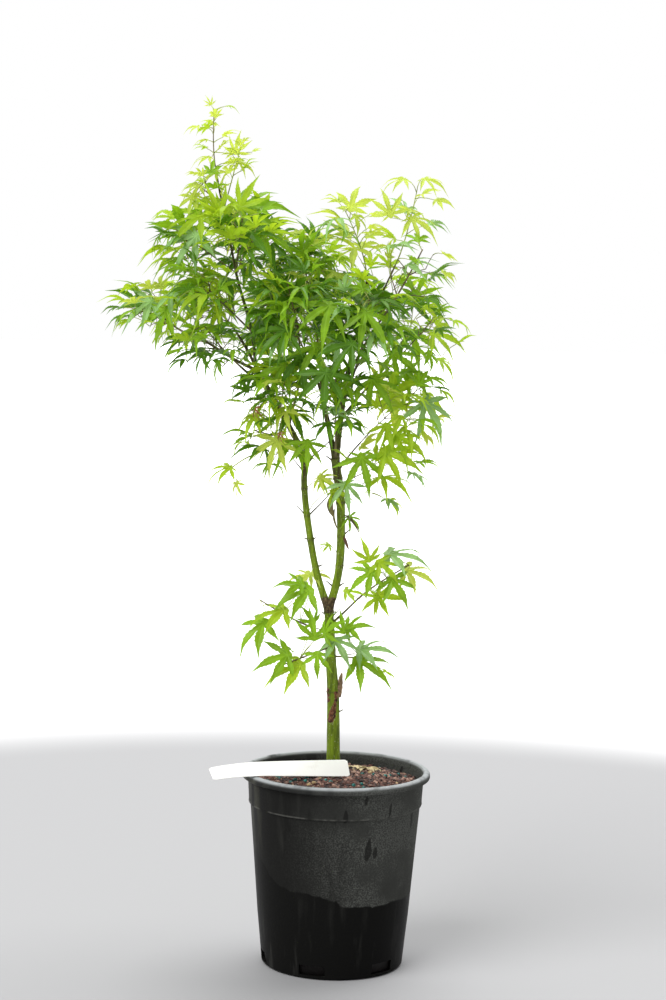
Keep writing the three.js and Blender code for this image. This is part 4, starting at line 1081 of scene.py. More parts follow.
def grow_shoots(stem, obstacles, between, finer):
    """The shoots of a mass and the places for its leaves, each with the spray that it belongs to."""
    space, points = stem.space, stem.points
    shoots, places = [], []
    sprays = [0]
    turn = between(0, math.pi)

    def offer(point, direction):
        if space.holds(point):
            places.append((point, direction, sprays[0]))

    def side_twigs(start, tip, direction):
        for count, share in enumerate(FINER["shares"]):
            foot = start + (tip - start) * share
            for way in pair_of(direction, turn + count * math.pi / 2 + 0.6, FINER["angle"]):
                length = min(finer(*FINER["length"]), space.room(foot, way) - 0.25 * space.leaf[1])
                end = foot + way * length
                line = foot + np.outer(np.linspace(0.3, 1, 4), end - foot)
                if length < FINER["least"] or not obstacles.clear(line, FINER["twig_gap"]):
                    offer(foot, way)
                    continue
                shoots.append((np.array([foot, (foot + end) / 2 + UP * length * 0.06, end]), FINER["radius"]))
                offer(end, way)
                for side in pair_of(way, turn + count, GROWTH["leaf_angle"]):
                    offer(end - way, side)

    def grow_twig(point, direction):
        sprays[0] += 1
        if space.young:
            offer(point, direction)
            return
        room = space.room(point, direction) - 0.5 * space.leaf[1]
        length = min(GROWTH["twig_most"], room)
        tip = point + direction * length
        first = point + direction * 4
        line = first + np.outer(np.arange(1, 7) / 6, tip - first)
        fits = length >= GROWTH["twig_least"] and space.holds(line) and obstacles.clear(line, GROWTH["guard"])
        if not fits:
            offer(point, direction)
            return
        lift = UP * length * 0.05
        shoots.append((np.array([point, (point + tip) / 2 + lift, tip]), GROWTH["twig_radius"]))
        inset = tip - direction * GROWTH["joint_inset"]
        offer(inset, direction)
        for side in pair_of(direction, turn, GROWTH["leaf_angle"]):
            offer(inset, side)
        side_twigs(point, tip, direction)

    for i in range(1, stem.joints + 1):
        ahead = unit(points[i] - points[i - 1])
        point = points[i] - ahead * GROWTH["joint_inset"]
        if i == stem.joints:
            offer(point, ahead)
        if not space.holds(point):
            continue
        turn += math.pi / 2 + between(-0.3, 0.3)
        for direction in pair_of(ahead, turn, GROWTH["twig_angle"]):
            grow_twig(point, direction)
        for share in (0.2, 0.5, 0.8) if space.young else (0.5,):
            half = points[i - 1] + (points[i] - points[i - 1]) * share
            for direction in pair_of(ahead, turn + math.pi * share, GROWTH["leaf_angle"]):
                offer(half, direction)
    return shoots, places


def reach_of_roots(line, roots):
    """The share of a straight shoot at which its last leaf or side shoot stands, 0 if it carries none."""
    run = line[-1] - line[0]
    shares = (roots - line[0]) @ run / run.dot(run)
    off = np.linalg.norm(roots - line[0] - np.outer(shares, run), axis=1)
    borne = shares[(off < FINER["root_off"]) & (shares > 0.2) & (shares < 1.1)]
    return min(borne.max(), 1.0) if len(borne) else 0.0


def pruned(shoots, roots):
    """The shoots cut back to their last leaf, without those that carry none, and the roots on the stem."""
    kept, roots = [], np.array(roots)
    for points, radii in reversed(shoots):
        reach = reach_of_roots(points, roots)
        if reach:
            kept.append((points[0] + (points - points[0]) * reach, radii))
            roots = np.vstack([roots, points[0]])
    return kept, roots


def outward(point):
    """Away from the middle of the crown, in plan."""
    away = np.array([point[0] - CROWN_AXIS[0], point[1] - CROWN_AXIS[1], 0.0]) / CROWN_REACH
    length = np.linalg.norm(away)
    return away / length if length > 1 else away


def grow_leaves(stem, places, obstacles, between, spacing, leaf_share):
    """Leaves at the places of a mass, smaller in each round, off the limbs and clear of the others."""
    space = stem.space
    leaves, palms, taken = [], np.empty((0, 3)), set()
    for palm, midrib, face, size, green in STANDOUTS.get(space.name, ()):
        palm, axes = np.array(palm, float), leaf_axes(midrib, face)
        root = stem.points[np.linalg.norm(stem.points - palm, axis=1).argmin()]
        leaves.append((root, palm - axes[0] * PALM * size, axes, size, green))
        palms = np.vstack([palms, palm])
    for trial in range(FINER["rounds"]):
        for number, (point, direction, spray) in enumerate(places):
            if number in taken:
                continue
            wander = np.array([between(-1, 1), between(-1, 1), between(-1, 1)])
            run = unit(direction + wander * (FINER["wander"][0] + FINER["wander"][1] * trial))
            want = between(*space.leaf) * leaf_share * FINER["shrink"] ** trial
            base = point + run * between(*FINER["petiole"]) * want / FINER["common_blade"]
            out = outward(base)
            midrib = run + 0.4 * out - UP * between(-0.35 if space.young else -0.5, 0.5)
            face = np.array([between(-0.5, 0.5), between(-0.5, 0.5), 1.0]) + 0.25 * out
            midrib, side, face = leaf_axes(midrib, face)
            size = min(want, space.room(base, midrib) + FINER["slack"])
            if size < FINER["smallest"] * space.leaf[0] * leaf_share:
                continue
            palm = base + midrib * PALM * size
            rho = np.linalg.norm((palm - space.middle) / space.reach)
            apart = spacing * space.sparse * size / space.leaf[1] * (FINER["core"] + FINER["edge"] * rho**2)
            if len(palms) and np.linalg.norm(palms - palm, axis=1).min() < apart:
                continue
            tips = [
                palm + (midrib * math.cos(turn) + side * math.sin(turn)) * size * reach - face * 0.1 * size
                for turn, reach in ((0, 0.85), (0.7, 0.75), (-0.7, 0.75), (1.35, 0.6), (-1.35, 0.6))
            ]
            spots = np.vstack([base, palm, tips, (np.array(tips) + palm) / 2])
            if not space.holds(spots, FINER["slack"]) or not obstacles.clear(spots, FINER["limb_gap"]):
                continue
            leaves.append((point, base, (midrib, side, face), size, spray))
            palms = np.vstack([palms, palm])
            taken.add(number)
    return leaves


# Leaves.


def lobe_width(share):
    return float(np.interp(share, *LOBE_OUTLINE))


def blade(style, seed):
    """A leaf of unit length in its own outline: midrib along X, upper face along Z, marked along its ribs."""
    lobes, half_width, droop, fold, bend = style
    draws = np.random.default_rng(seed)
    fan = [(-angle, reach) for angle, reach in lobes[:0:-1]] + list(lobes)
    points, faces, marks = [], [], []

    def point(x, y, lift, mark):
        r = math.hypot(x - PALM, y)
        points.append((x, y, lift - droop * r * r - bend * max(0.0, r - 0.5) ** 2 * 3))
        marks.append(mark)
        return len(points) - 1

    palm = point(PALM, 0, 0, 1)
    stalk = point(0, 0, 0, 1)
    shaken = [
        (math.radians(angle + draws.uniform(-4, 4)), reach * draws.uniform(0.93, 1.05))
        for angle, reach in fan
    ]
    sinuses = []
    for (low, near), (high, far) in zip(shaken, shaken[1:]):
        middle, reach = (low + high) / 2, SINUS * (near + far) / 2 * (1 - PALM)
        sinuses.append(point(PALM + reach * math.cos(middle), reach * math.sin(middle), fold * 0.05, 0))
    for number, (angle, reach) in enumerate(shaken):
        length = reach * (1 - PALM)
        ahead, side = (math.cos(angle), math.sin(angle)), (-math.sin(angle), math.cos(angle))
        sway, twist, sink = draws.uniform(-0.07, 0.07), draws.uniform(-0.4, 0.4), draws.uniform(0.0, 0.25)

        def on_lobe(share, offset, mark):
            along, off = share * length, offset + sway * share**2 * length
            lift = fold * abs(offset) + twist * offset - sink * share**2 * length
            x = PALM + ahead[0] * along + side[0] * off
            y = ahead[1] * along + side[1] * off
            return point(x, y, lift, mark)

        ribs = [palm] + [on_lobe(share, 0, 1) for share in LOBE_TEETH]
        tip = on_lobe(1.0, 0, 1)
        for way in (-1, 1):
            inner = number - 1 if way < 0 else number
            notch = sinuses[inner] if 0 <= inner < len(sinuses) else stalk
            for k, share in enumerate(LOBE_TEETH):
                tooth, after = (
                    on_lobe(share + on, way * half_width * reach * lobe_width(share + on) * out, 0)
                    for on, out in TOOTH
                )
                trio = [(ribs[k], notch, tooth), (ribs[k], tooth, ribs[k + 1]), (ribs[k + 1], tooth, after)]
                faces += trio if way < 0 else [face[::-1] for face in trio]
                notch = after
            last = (ribs[-1], notch, tip)
            faces.append(last if way < 0 else last[::-1])
    return np.array(points) / MM, faces, marks


def leaf_finish(name, colour, share):
    finish = Finish(name)
    base = finish.blend(finish.patches(55, 3, 0.35, 0.68), shaded(colour, 0.78), shaded(colour, 1.12))
    vein = finish.ramp(finish.attribute("rib"), 0.72, 1.0)
    pale = tuple(min(1.0, channel * 1.35 + 0.03) for channel in colour)
    base = finish.blend(finish.times(vein, 0.42), base, pale)
    glow = tuple(min(1.0, channel * gain) for channel, gain in zip(colour, (1.4, 1.3, 0.9)))
    normal = finish.bump(finish.noise(420), 0.25, 0.0004)
    return finish.close(base, 0.42, normal, glow, share, **{"Specular IOR Level": 0.24})


def bark_finish(name, colours, main, old, weathering):
    """Bark: streaks along the limbs, brown rings, wounds on the trunk, and grey-brown high on the stems."""
    finish = Finish(name)
    scar = colours.scar
    streak = finish.noise(420, 3, 0.12)
    ragged = finish.times(finish.sum(finish.noise(260, 3, 0.5), -0.5), 0.005)

    def marked(places):
        return finish.sum(*(
            finish.times(finish.near(middle, reach, ragged), strength) for middle, reach, strength in places
        ))

    wounds, collar = marked(SCARS), marked(COLLAR)
    callus = finish.times(finish.ramp(wounds, 0.0, 0.25), finish.ramp(wounds, 0.6, 0.3))
    torn = finish.patches(620, 2, 0.36, 0.62, 0.4)
    high = finish.ramp(finish.axes()[2], *GREY_FROM, 0.0, weathering)
    ring = finish.ramp(finish.attribute("ring"), 0.3, 1.8)
    colour = finish.blend(finish.ramp(streak, 0.3, 0.7), shaded(main, 0.55), shaded(main, 1.3))
    for share, over in (
        (finish.times(high, finish.ramp(streak, 0.3, 0.55, 1.0, 0.6)), old),
        (finish.times(ring, 0.75), old),
        (finish.times(callus, 0.5), colours.callus),
        (finish.ramp(collar, 0.15, 0.5), finish.blend(torn, shaded(old, 0.5), shaded(old, 2.0))),
        (finish.ramp(wounds, 0.2, 0.6), finish.blend(torn, shaded(scar, 0.2), shaded(scar, 1.5))),
        (finish.times(finish.patches(1100, 1, 0.64, 0.70, 0.45), 0.4), colours.fleck),
    ):
        colour = finish.blend(share, colour, over)
    relief = finish.sum(finish.noise(1300, 3), finish.times(streak, 2.0))
    return finish.close(colour, 0.55, finish.bump(relief, 0.6, 0.0004), **{"Specular IOR Level": 0.2})


def plain_finish(name, colour, spread, scale, roughness=0.6, translucent=0.0, bump=0.3):
    finish = Finish(name)
    share = finish.patches(scale, 3, 0.3, 0.7)
    base = finish.blend(share, shaded(colour, 1 - spread), shaded(colour, 1 + spread))
    normal = finish.bump(finish.noise(scale * 6), bump, 0.0003)
    return finish.close(base, roughness, normal, colour if translucent else None, translucent)


def pot_finish(colours):
    """Black plastic: a dusty, speckled upper part with painted light to the right, a damp lower part, scuffs,
    and a lip whose top is partly real wear and partly painted highlight.
    """
    finish = Finish("black_nursery_plastic")
    ramp, times = finish.ramp, finish.times
    x, _, z = finish.axes()

    def mark(axis, name, start=0.0, end=1.0):
        return ramp(axis, *POT_MARKS[name], start, end)

    level = finish.sum(*(ramp(x, *ends, kind=kind) for *ends, kind in TIDE))
    ragged = finish.sum(
        times(finish.sum(finish.noise(26), -0.5), 0.007), times(finish.sum(finish.noise(140), -0.5), 0.005),
    )
    dry = ramp(finish.sum(z, ragged, times(level, -1.0)), -0.0006, 0.0012)
    speckle = finish.patches(860, 3, 0.40, 0.68)
    runs = finish.noise(95, 3, 0.10)
    smear = finish.patches(95, 1, 0.68, 0.72, 0.30)
    drips = times(finish.patches(48, 3, 0.52, 0.60, 0.22), mark(x, "drips", 0.1, 0.8))
    # Painted light: lit makes the dust lighter and thicker towards the right, over the real dust.
    lit = mark(x, "sunny_side", 0.03, 1.9)
    cloudy = times(speckle, finish.patches(17, 3, 0.34, 0.60), lit, 0.68)
    dust = times(dry, finish.sum(cloudy, times(lit, 0.26)))
    dust = times(dust, ramp(smear, 0, 1, 1.0, 0.2), ramp(drips, 0, 1, 1.0, 0.0))
    colour = finish.blend(dry, shaded(colours.plastic, 0.78), shaded(colours.plastic, 1.15))
    for share, over in (
        (times(mark(x, "left_edge"), mark(z, "stain"), ramp(runs, 0.42, 0.62), 0.5), colours.bloom),
        (dust, colours.dust),
        (times(ramp(runs, 0.56, 0.74), mark(z, "foot", 0.08, 0.3)), colours.scuff),
        (times(mark(z, "step_low"), mark(z, "step_high"), ramp(runs, 0.4, 0.6), 0.5), colours.scuff),
        # Painted highlight, partly wear: a lighter grey along the top of the lip, and light patches on it.
        (finish.sum(mark(z, "lip_side", end=0.08), mark(z, "lip_top", end=0.40)), colours.lip),
        (times(mark(z, "rubbed_and_highlit"), finish.patches(60, 2, 0.22, 0.52), 0.7), colours.worn_and_highlit),
    ):
        colour = finish.blend(share, colour, over)
    normal = finish.bump(finish.sum(speckle, times(runs, 1.5)), 0.18, 0.0003)
    return finish.close(colour, ramp(dust, 0.0, 0.5, 0.4, 0.8), normal, **{"Specular IOR Level": 0.03})


def mix_finish(colours):
    """Bark crumbs in mixed browns, with painted shade darkening them down the gap between them and the wall.
    """
    finish = Finish("bark_crumbs")
    shade = finish.attribute("shade")
    grain = finish.noise(900)
    colour = finish.blend(finish.ramp(shade, 0.1, 0.55), shaded(colours.mix, 0.12), colours.mix)
    colour = finish.blend(finish.ramp(shade, 0.66, 0.9), colour, colours.fresh_crumb)
    colour = finish.blend(finish.ramp(shade, 0.975, 0.985), colour, colours.chaff)
    colour = finish.blend(finish.ramp(grain, 0.35, 0.65, 0.0, 0.5), colour, shaded(colours.mix, 0.4))
    # Painted shade: the mix turns black below its surface, in the gap by the wall and the drain slots.
    depth = finish.ramp(finish.axes()[2], 0.12, 0.165, 0.12, 1.0)
    colour = finish.blend(depth, (0.0, 0.0, 0.0), colour)
    return finish.close(colour, 0.72, finish.bump(grain, 0.5, 0.0004))


def lump(name, seed, flat, squeeze):
    """A crumb of unit length: a rough closed lump of a few faces."""
    points, faces = turned(LUMP_OUTLINE, LUMP_SIDES)
    points *= np.random.default_rng(seed).uniform(0.78, 1.15, (len(points), 1))
    points *= (1.0, squeeze, flat)
    return Shape(points / MM, faces).build(name, smooth=False)


def blade_shape(name, style, seed):
    return Shape(*blade(style, seed)).build(name, smooth=False, mark="rib")


# Operators.


class MapleStep(bpy.types.Operator):
    """Makes one part of the maple."""

    bl_options = {"REGISTER", "UNDO"}

    def execute(self, context):
        self.make(context.scene.maple_sizes, context.scene.maple_colours)
        return {"FINISHED"}


class MAPLE_OT_stage(MapleStep):
    """Sets the camera, the floor, the sky and the soft lights"""

    bl_idname = "maple.stage"
    bl_label = "Stage"

    def make(self, sizes, colours):
        scene = bpy.context.scene
        scene.view_settings.view_transform = "Standard"
        self.set_camera(scene)
        self.set_sky(scene)
        for name, (place, width, strength) in SUNS.items():
            lamp = bpy.data.lights.new(name, "SUN")
            lamp.angle, lamp.energy = math.radians(width), strength
            light = bpy.data.objects.new(name, lamp)
            light.location = place
            light.rotation_euler = Vector(place).to_track_quat("Z", "Y").to_euler()
            scene.collection.objects.link(light)
        low, high = FLOOR_HEIGHTS
        slab = turned([(0, low), (FLOOR_RADIUS, low), (FLOOR_RADIUS, high), (0, high)], FLOOR_SIDES)
        Shape(*slab).build("pale_floor", self.floor_finish(colours), False)

    def set_camera(self, scene):
        pitch, roll = math.radians(CAMERA["pitch"]), math.radians(CAMERA["roll"])
        ahead = Vector((0, math.cos(pitch), -math.sin(pitch)))
        level, upright = Vector((1, 0, 0)), Vector((0, math.sin(pitch), math.cos(pitch)))
        right = level * math.cos(roll) + upright * math.sin(roll)
        top = upright * math.cos(roll) - level * math.sin(roll)
        data = bpy.data.cameras.new("photo_camera")
        data.sensor_width, data.lens = CAMERA["sensor"], CAMERA["lens"]
        camera = bpy.data.objects.new("photo_camera", data)
        turn = Matrix((right, top, -ahead)).transposed().to_4x4()
        camera.matrix_world = Matrix.Translation(CAMERA["place"]) @ turn
        scene.collection.objects.link(camera)
        scene.camera = camera

    def set_sky(self, scene):
        """A white sky that shines less than it shows."""
        scene.world = bpy.data.worlds.new("pale_sky")
        scene.world.use_nodes = True
        sky = Nodes(scene.world.node_tree)
        path = sky.add("ShaderNodeLightPath").outputs["Is Camera Ray"]
        ends = {"Value": path, "To Min": SKY_LIGHT, "To Max": SKY_SEEN}
        strength = sky.add("ShaderNodeMapRange", ends).outputs[0]
        shine = sky.add("ShaderNodeBackground", {"Color": (1, 1, 1, 1), "Strength": strength}).outputs[0]
        sky.add("ShaderNodeOutputWorld", {"Surface": shine})

    def floor_finish(self, colours):
        """Pale floor that turns white away from the pot, as the sky behind it."""
        finish = Finish("pale_floor")
        away = finish.add("ShaderNodeVectorMath", {0: finish.where}, operation="LENGTH").outputs["Value"]
        colour = finish.blend(finish.ramp(away, *FLOOR_FADE), colours.floor, (1.0, 1.0, 1.0))
        return finish.close(colour, 0.9, **{"Specular IOR Level": 0.0})


class MAPLE_OT_pot(MapleStep):
    """Makes the black nursery pot, with its rolled lip, collar and drain slots"""

    bl_idname = "maple.pot"
    bl_label = "Pot"

    def make(self, sizes, colours):
        pot = Shape(*turned(POT_OUTSIDE + POT_INSIDE, POT_SIDES)).build("nursery_pot", pot_finish(colours))
        cutters = Shape()
        box = [(3, 2, 1, 0), (4, 5, 6, 7), *ring_faces(2, 4)]
        for number in range(DRAIN["count"]):
            heading = DRAIN["first"] + 360 / DRAIN["count"] * number
            middle = in_plan(heading) * DRAIN["radius"]
            deep, wide = in_plan(heading) * DRAIN["depth"] / 2, in_plan(heading + 90) * DRAIN["width"] / 2
            corners = [middle - deep - wide, middle + deep - wide, middle + deep + wide, middle - deep + wide]
            cutters.add([c + UP * height for height in (DRAIN["bottom"], DRAIN["top"]) for c in corners], box)
        cutter = cutters.build("drain_cutter")
        cut = pot.modifiers.new("Drain slots", "BOOLEAN")
        cut.operation, cut.object, cut.solver = "DIFFERENCE", cutter, "EXACT"
        baked(pot)
        bpy.data.objects.remove(cutter)
        pot.data.set_sharp_from_angle(angle=math.radians(POT_CREASE))
        finished(pot, ["pot"])


class MAPLE_OT_mix(MapleStep):
    """Makes the potting mix: a bed of bark crumbs, feed prills and straw scraps"""

    bl_idname = "maple.mix"
    bl_label = "Potting mix"

    def make(self, sizes, colours):
        self.make_bed(sizes, mix_finish(colours))
        tree = set_out_tree()
        draws = np.random.default_rng(STREWN_SEED)
        spots = [self.spot(draws) for _ in range(PRILLS["count"])]
        places = [(point, np.eye(3), draws.uniform(*PRILLS["length"]) * MM, 0) for point in spots]
        coat = plain_finish("feed_prill", colours.prill, 0.4, 300, 0.35)
        self.strewn("feed_prills", places, [lump("prill", 40, 1.0, 1.0)], coat, tree)
        scraps = [blade_shape(f"scrap_{n}", BLADE_STYLES[3 + n], 60 + n) for n in range(3)]
        places = [self.scrap(draws) for _ in range(STRAW["count"])]
        straw = plain_finish("dry_straw", colours.straw, 0.3, 300, 0.8, 0.2)
        self.strewn("straw_scraps", places, scraps, straw, tree)

    def make_bed(self, sizes, material):
        (edge, low), (pad, high) = MIX_TOP["edge"], MIX_TOP["pad"]
        shares = [ring / MIX_TOP["rings"] for ring in range(MIX_TOP["rings"] + 1)]
        top = [(edge + (pad - edge) * share, self.height(share)) for share in shares]
        points, faces = turned([*MIX_WALL, *top, (pad * 0.5, high), (0, high)], MIX_SIDES)
        radius = np.hypot(points[:, 0], points[:, 1])
        lumps = np.sin(points[:, 0] / MIX_RUFFLE[0]) * np.cos(points[:, 1] / MIX_RUFFLE[1] + 1)
        points[:, 2] += np.where((points[:, 2] > low + 0.1) & (radius > pad + 1), MIX_TOP["bump"] * lumps, 0)
        crumbs = collected("crumbs", [
            lump(f"crumb_{n}", n, 0.35 + 0.08 * n, 0.45 + 0.1 * n) for n in range(CRUMBS["kinds"])
        ])
        mix = grown(Shape(points, faces).build("bark_mix"), strew_tree(), {
            "Shapes": crumbs, "Finish": material, "Density": sizes.crumbs, "Size": sizes.crumb,
            "Seed": CRUMBS["seed"], "Lowest": low * MM,
        })
        cleared(crumbs)
        finished(mix, ["potting_mix"])

    def strewn(self, name, places, shapes, material, tree):
        shapes = collected(name + "_shapes", shapes)
        piece = set_out(name, places, shapes, material, tree)
        cleared(shapes)
        finished(piece)

    def height(self, share):
        """Height of the mix at a share of the way from its edge to the pad round the trunk."""
        low, high = MIX_TOP["edge"][1], MIX_TOP["pad"][1]
        return low + (high - low) * share**2 * (3 - 2 * share)

    def surface(self, x, y, lift):
        edge, pad = MIX_TOP["edge"][0], MIX_TOP["pad"][0]
        return np.array([x, y, self.height(np.clip((edge - math.hypot(x, y)) / (edge - pad), 0, 1)) + lift])

    def spot(self, draws):
        least, most = PRILLS["between"]
        while True:
            x, y = draws.uniform(-most, most, 2)
            if least < math.hypot(x, y) < most:
                return self.surface(x, y, PRILLS["lift"])

    def scrap(self, draws):
        """A straw scrap in one of the two heaps. One that would reach the wall points the other way."""
        heap = STRAW["heaps"][0 if draws.uniform() < STRAW["first_share"] else 1]
        point = self.surface(*(heap + draws.normal(0, STRAW["spread"], 2)), STRAW["lift"])
        turn = draws.uniform(0, 2 * math.pi)
        ahead = unit(np.array([math.cos(turn), math.sin(turn), draws.uniform(-0.1, 0.2)]))
        if math.hypot(*(point + ahead * STRAW["length"][1])[:2]) > STRAW["within"]:
            ahead[:2] *= -1
        return point, leaf_axes(ahead, UP), draws.uniform(*STRAW["length"]) * MM, draws.integers(3)


class MAPLE_OT_label(MapleStep):
    """Makes the blank white plant label that lies across the rim"""

    bl_idname = "maple.label"
    bl_label = "Plant label"

    def make(self, sizes, colours):
        foot = np.array(LABEL["foot"])
        rest = in_plan(LABEL["heading"]) * LABEL["crossing"] + UP * LABEL["rim"]
        run = unit(rest - foot)
        length = np.linalg.norm(rest - foot) + LABEL["overhang"]
        back = unit(np.cross(UP, run))
        back = back if back[1] > 0 else -back
        points = []
        for step in range(LABEL["steps"] + 1):
            share = step / LABEL["steps"]
            lean = math.radians(LABEL["lean"][0] + (LABEL["lean"][1] - LABEL["lean"][0]) * share)
            rise = back * math.sin(lean) + UP * math.cos(lean)
            thick = back * math.cos(lean) - UP * math.sin(lean)
            from_end = min(share, 1 - share) * length
            cut = max(0.0, LABEL["corner"] - from_end)
            inset = LABEL["corner"] - math.sqrt(max(0.0, LABEL["corner"] ** 2 - cut**2))
            bend = max(0.0, share - LABEL["sags_from"]) / (1 - LABEL["sags_from"])
            low = foot + run * length * share - UP * LABEL["sag"] * bend**2
            for height, depth in LABEL_SECTION:
                off = inset + height * (LABEL["width"] - 2 * inset)
                points.append(low + rise * off + thick * depth * LABEL["thickness"])
        sides = len(LABEL_SECTION)
        faces = ring_faces(LABEL["steps"] + 1, sides)
        faces += [tuple(range(sides))[::-1], tuple(range(LABEL["steps"] * sides, len(points)))]
        label = Shape(points, faces).build("plant_label", self.finish(colours), smooth=False)
        finished(label, ["label"])

    def finish(self, colours):
        finish = Finish("white_label_plastic")
        soil = finish.times(finish.patches(90, 4, 0.58, 0.74), 0.14)
        colour = finish.blend(soil, colours.label, colours.soil)
        normal = finish.bump(finish.noise(700), 0.1, 0.0002)
        return finish.close(colour, 0.38, normal, colours.label, 0.1)


class MAPLE_OT_bark(MapleStep):
    """Makes the bark of the trunk, the stems and the boughs, with rings, the snag and dead stubs"""

    bl_idname = "maple.bark"
    bl_label = "Bark"

    def make(self, sizes, colours):
        limbs = grow_limbs()
        green, brown = Shape(), Shape()
        relief = sizes.relief / MM
        for seed, (name, limb) in enumerate(limbs.items()):
            if name in GREEN_LIMBS:
                green.add(*bark_tube(limb, *BARK_STEPS[name], relief, seed))
            else:
                brown.add(*bark_tube(limb, *BARK_STEPS["bough"], relief * 0.6, seed))
        for limb, height, heading, climb, length in STUBS:
            foot, radius = limbs[limb].at_height(height)
            self.add_stub(brown, foot, radius, heading, math.radians(climb), length)
        old = colours.brown_bark
        skin = bark_finish("green_bark", colours, colours.green_bark, old, 0.9)
        finished(green.build("green_bark", skin, mark="ring"), GREEN_LIMBS)
        moss = tuple(MOSS[0] * b + MOSS[1] * g for b, g in zip(old, colours.green_bark))
        skin = bark_finish("brown_bark", colours, moss, shaded(old, 0.6), 0.4)
        wood = brown.build("brown_bark", skin, mark="ring")
        finished(wood, [name for name in LIMBS if name not in GREEN_LIMBS])
        dry = tuple(gain * channel for gain, channel in zip(SNAG["tint"], colours.scar))
        skin = plain_finish("dry_snag", dry, 0.6, 330, 0.75, bump=0.9)
        finished(Shape(*self.snag(limbs["trunk"])).build("old_snag", skin))

    def snag(self, trunk):
        """The dead snag that leans out from the trunk, rough all round."""
        out = in_plan(SNAG["heading"])
        start = trunk.curve(SNAG["share"]) + out * SNAG["out"]
        top = start + out * SNAG["run"] + UP * SNAG["rise"]
        shares = np.linspace(SNAG["from"], 1, SNAG["rings"])
        radii = np.interp(shares, np.linspace(SNAG["from"], 1, len(SNAG["radii"])), SNAG["radii"])
        turns, along = np.arange(SNAG["sides"]) * 2 * math.pi / SNAG["sides"], shares[:, None]
        rough = 1 + 0.16 * np.sin(3 * turns + 9 * along) + 0.1 * np.sin(5 * turns - 17 * along)
        return tube(start + np.outer(shares, top - start), radii[:, None] * rough, SNAG["sides"])

    def add_stub(self, shape, foot, radius, heading, climb, length):
        out = in_plan(heading)
        way = out * math.cos(climb) + UP * math.sin(climb)
        start = foot + out * radius * 0.4
        bend = np.cross(way, UP) * length * 0.08
        line = np.array([start, start + way * length * 0.5 + bend, start + way * (length + radius)])
        thick = STUB["short"] if length < STUB["long_from"] else STUB["long"]
        shape.add(*tube(line, [thick, thick * 0.75, thick * 0.4], STUB["sides"]), STUB["ring"])


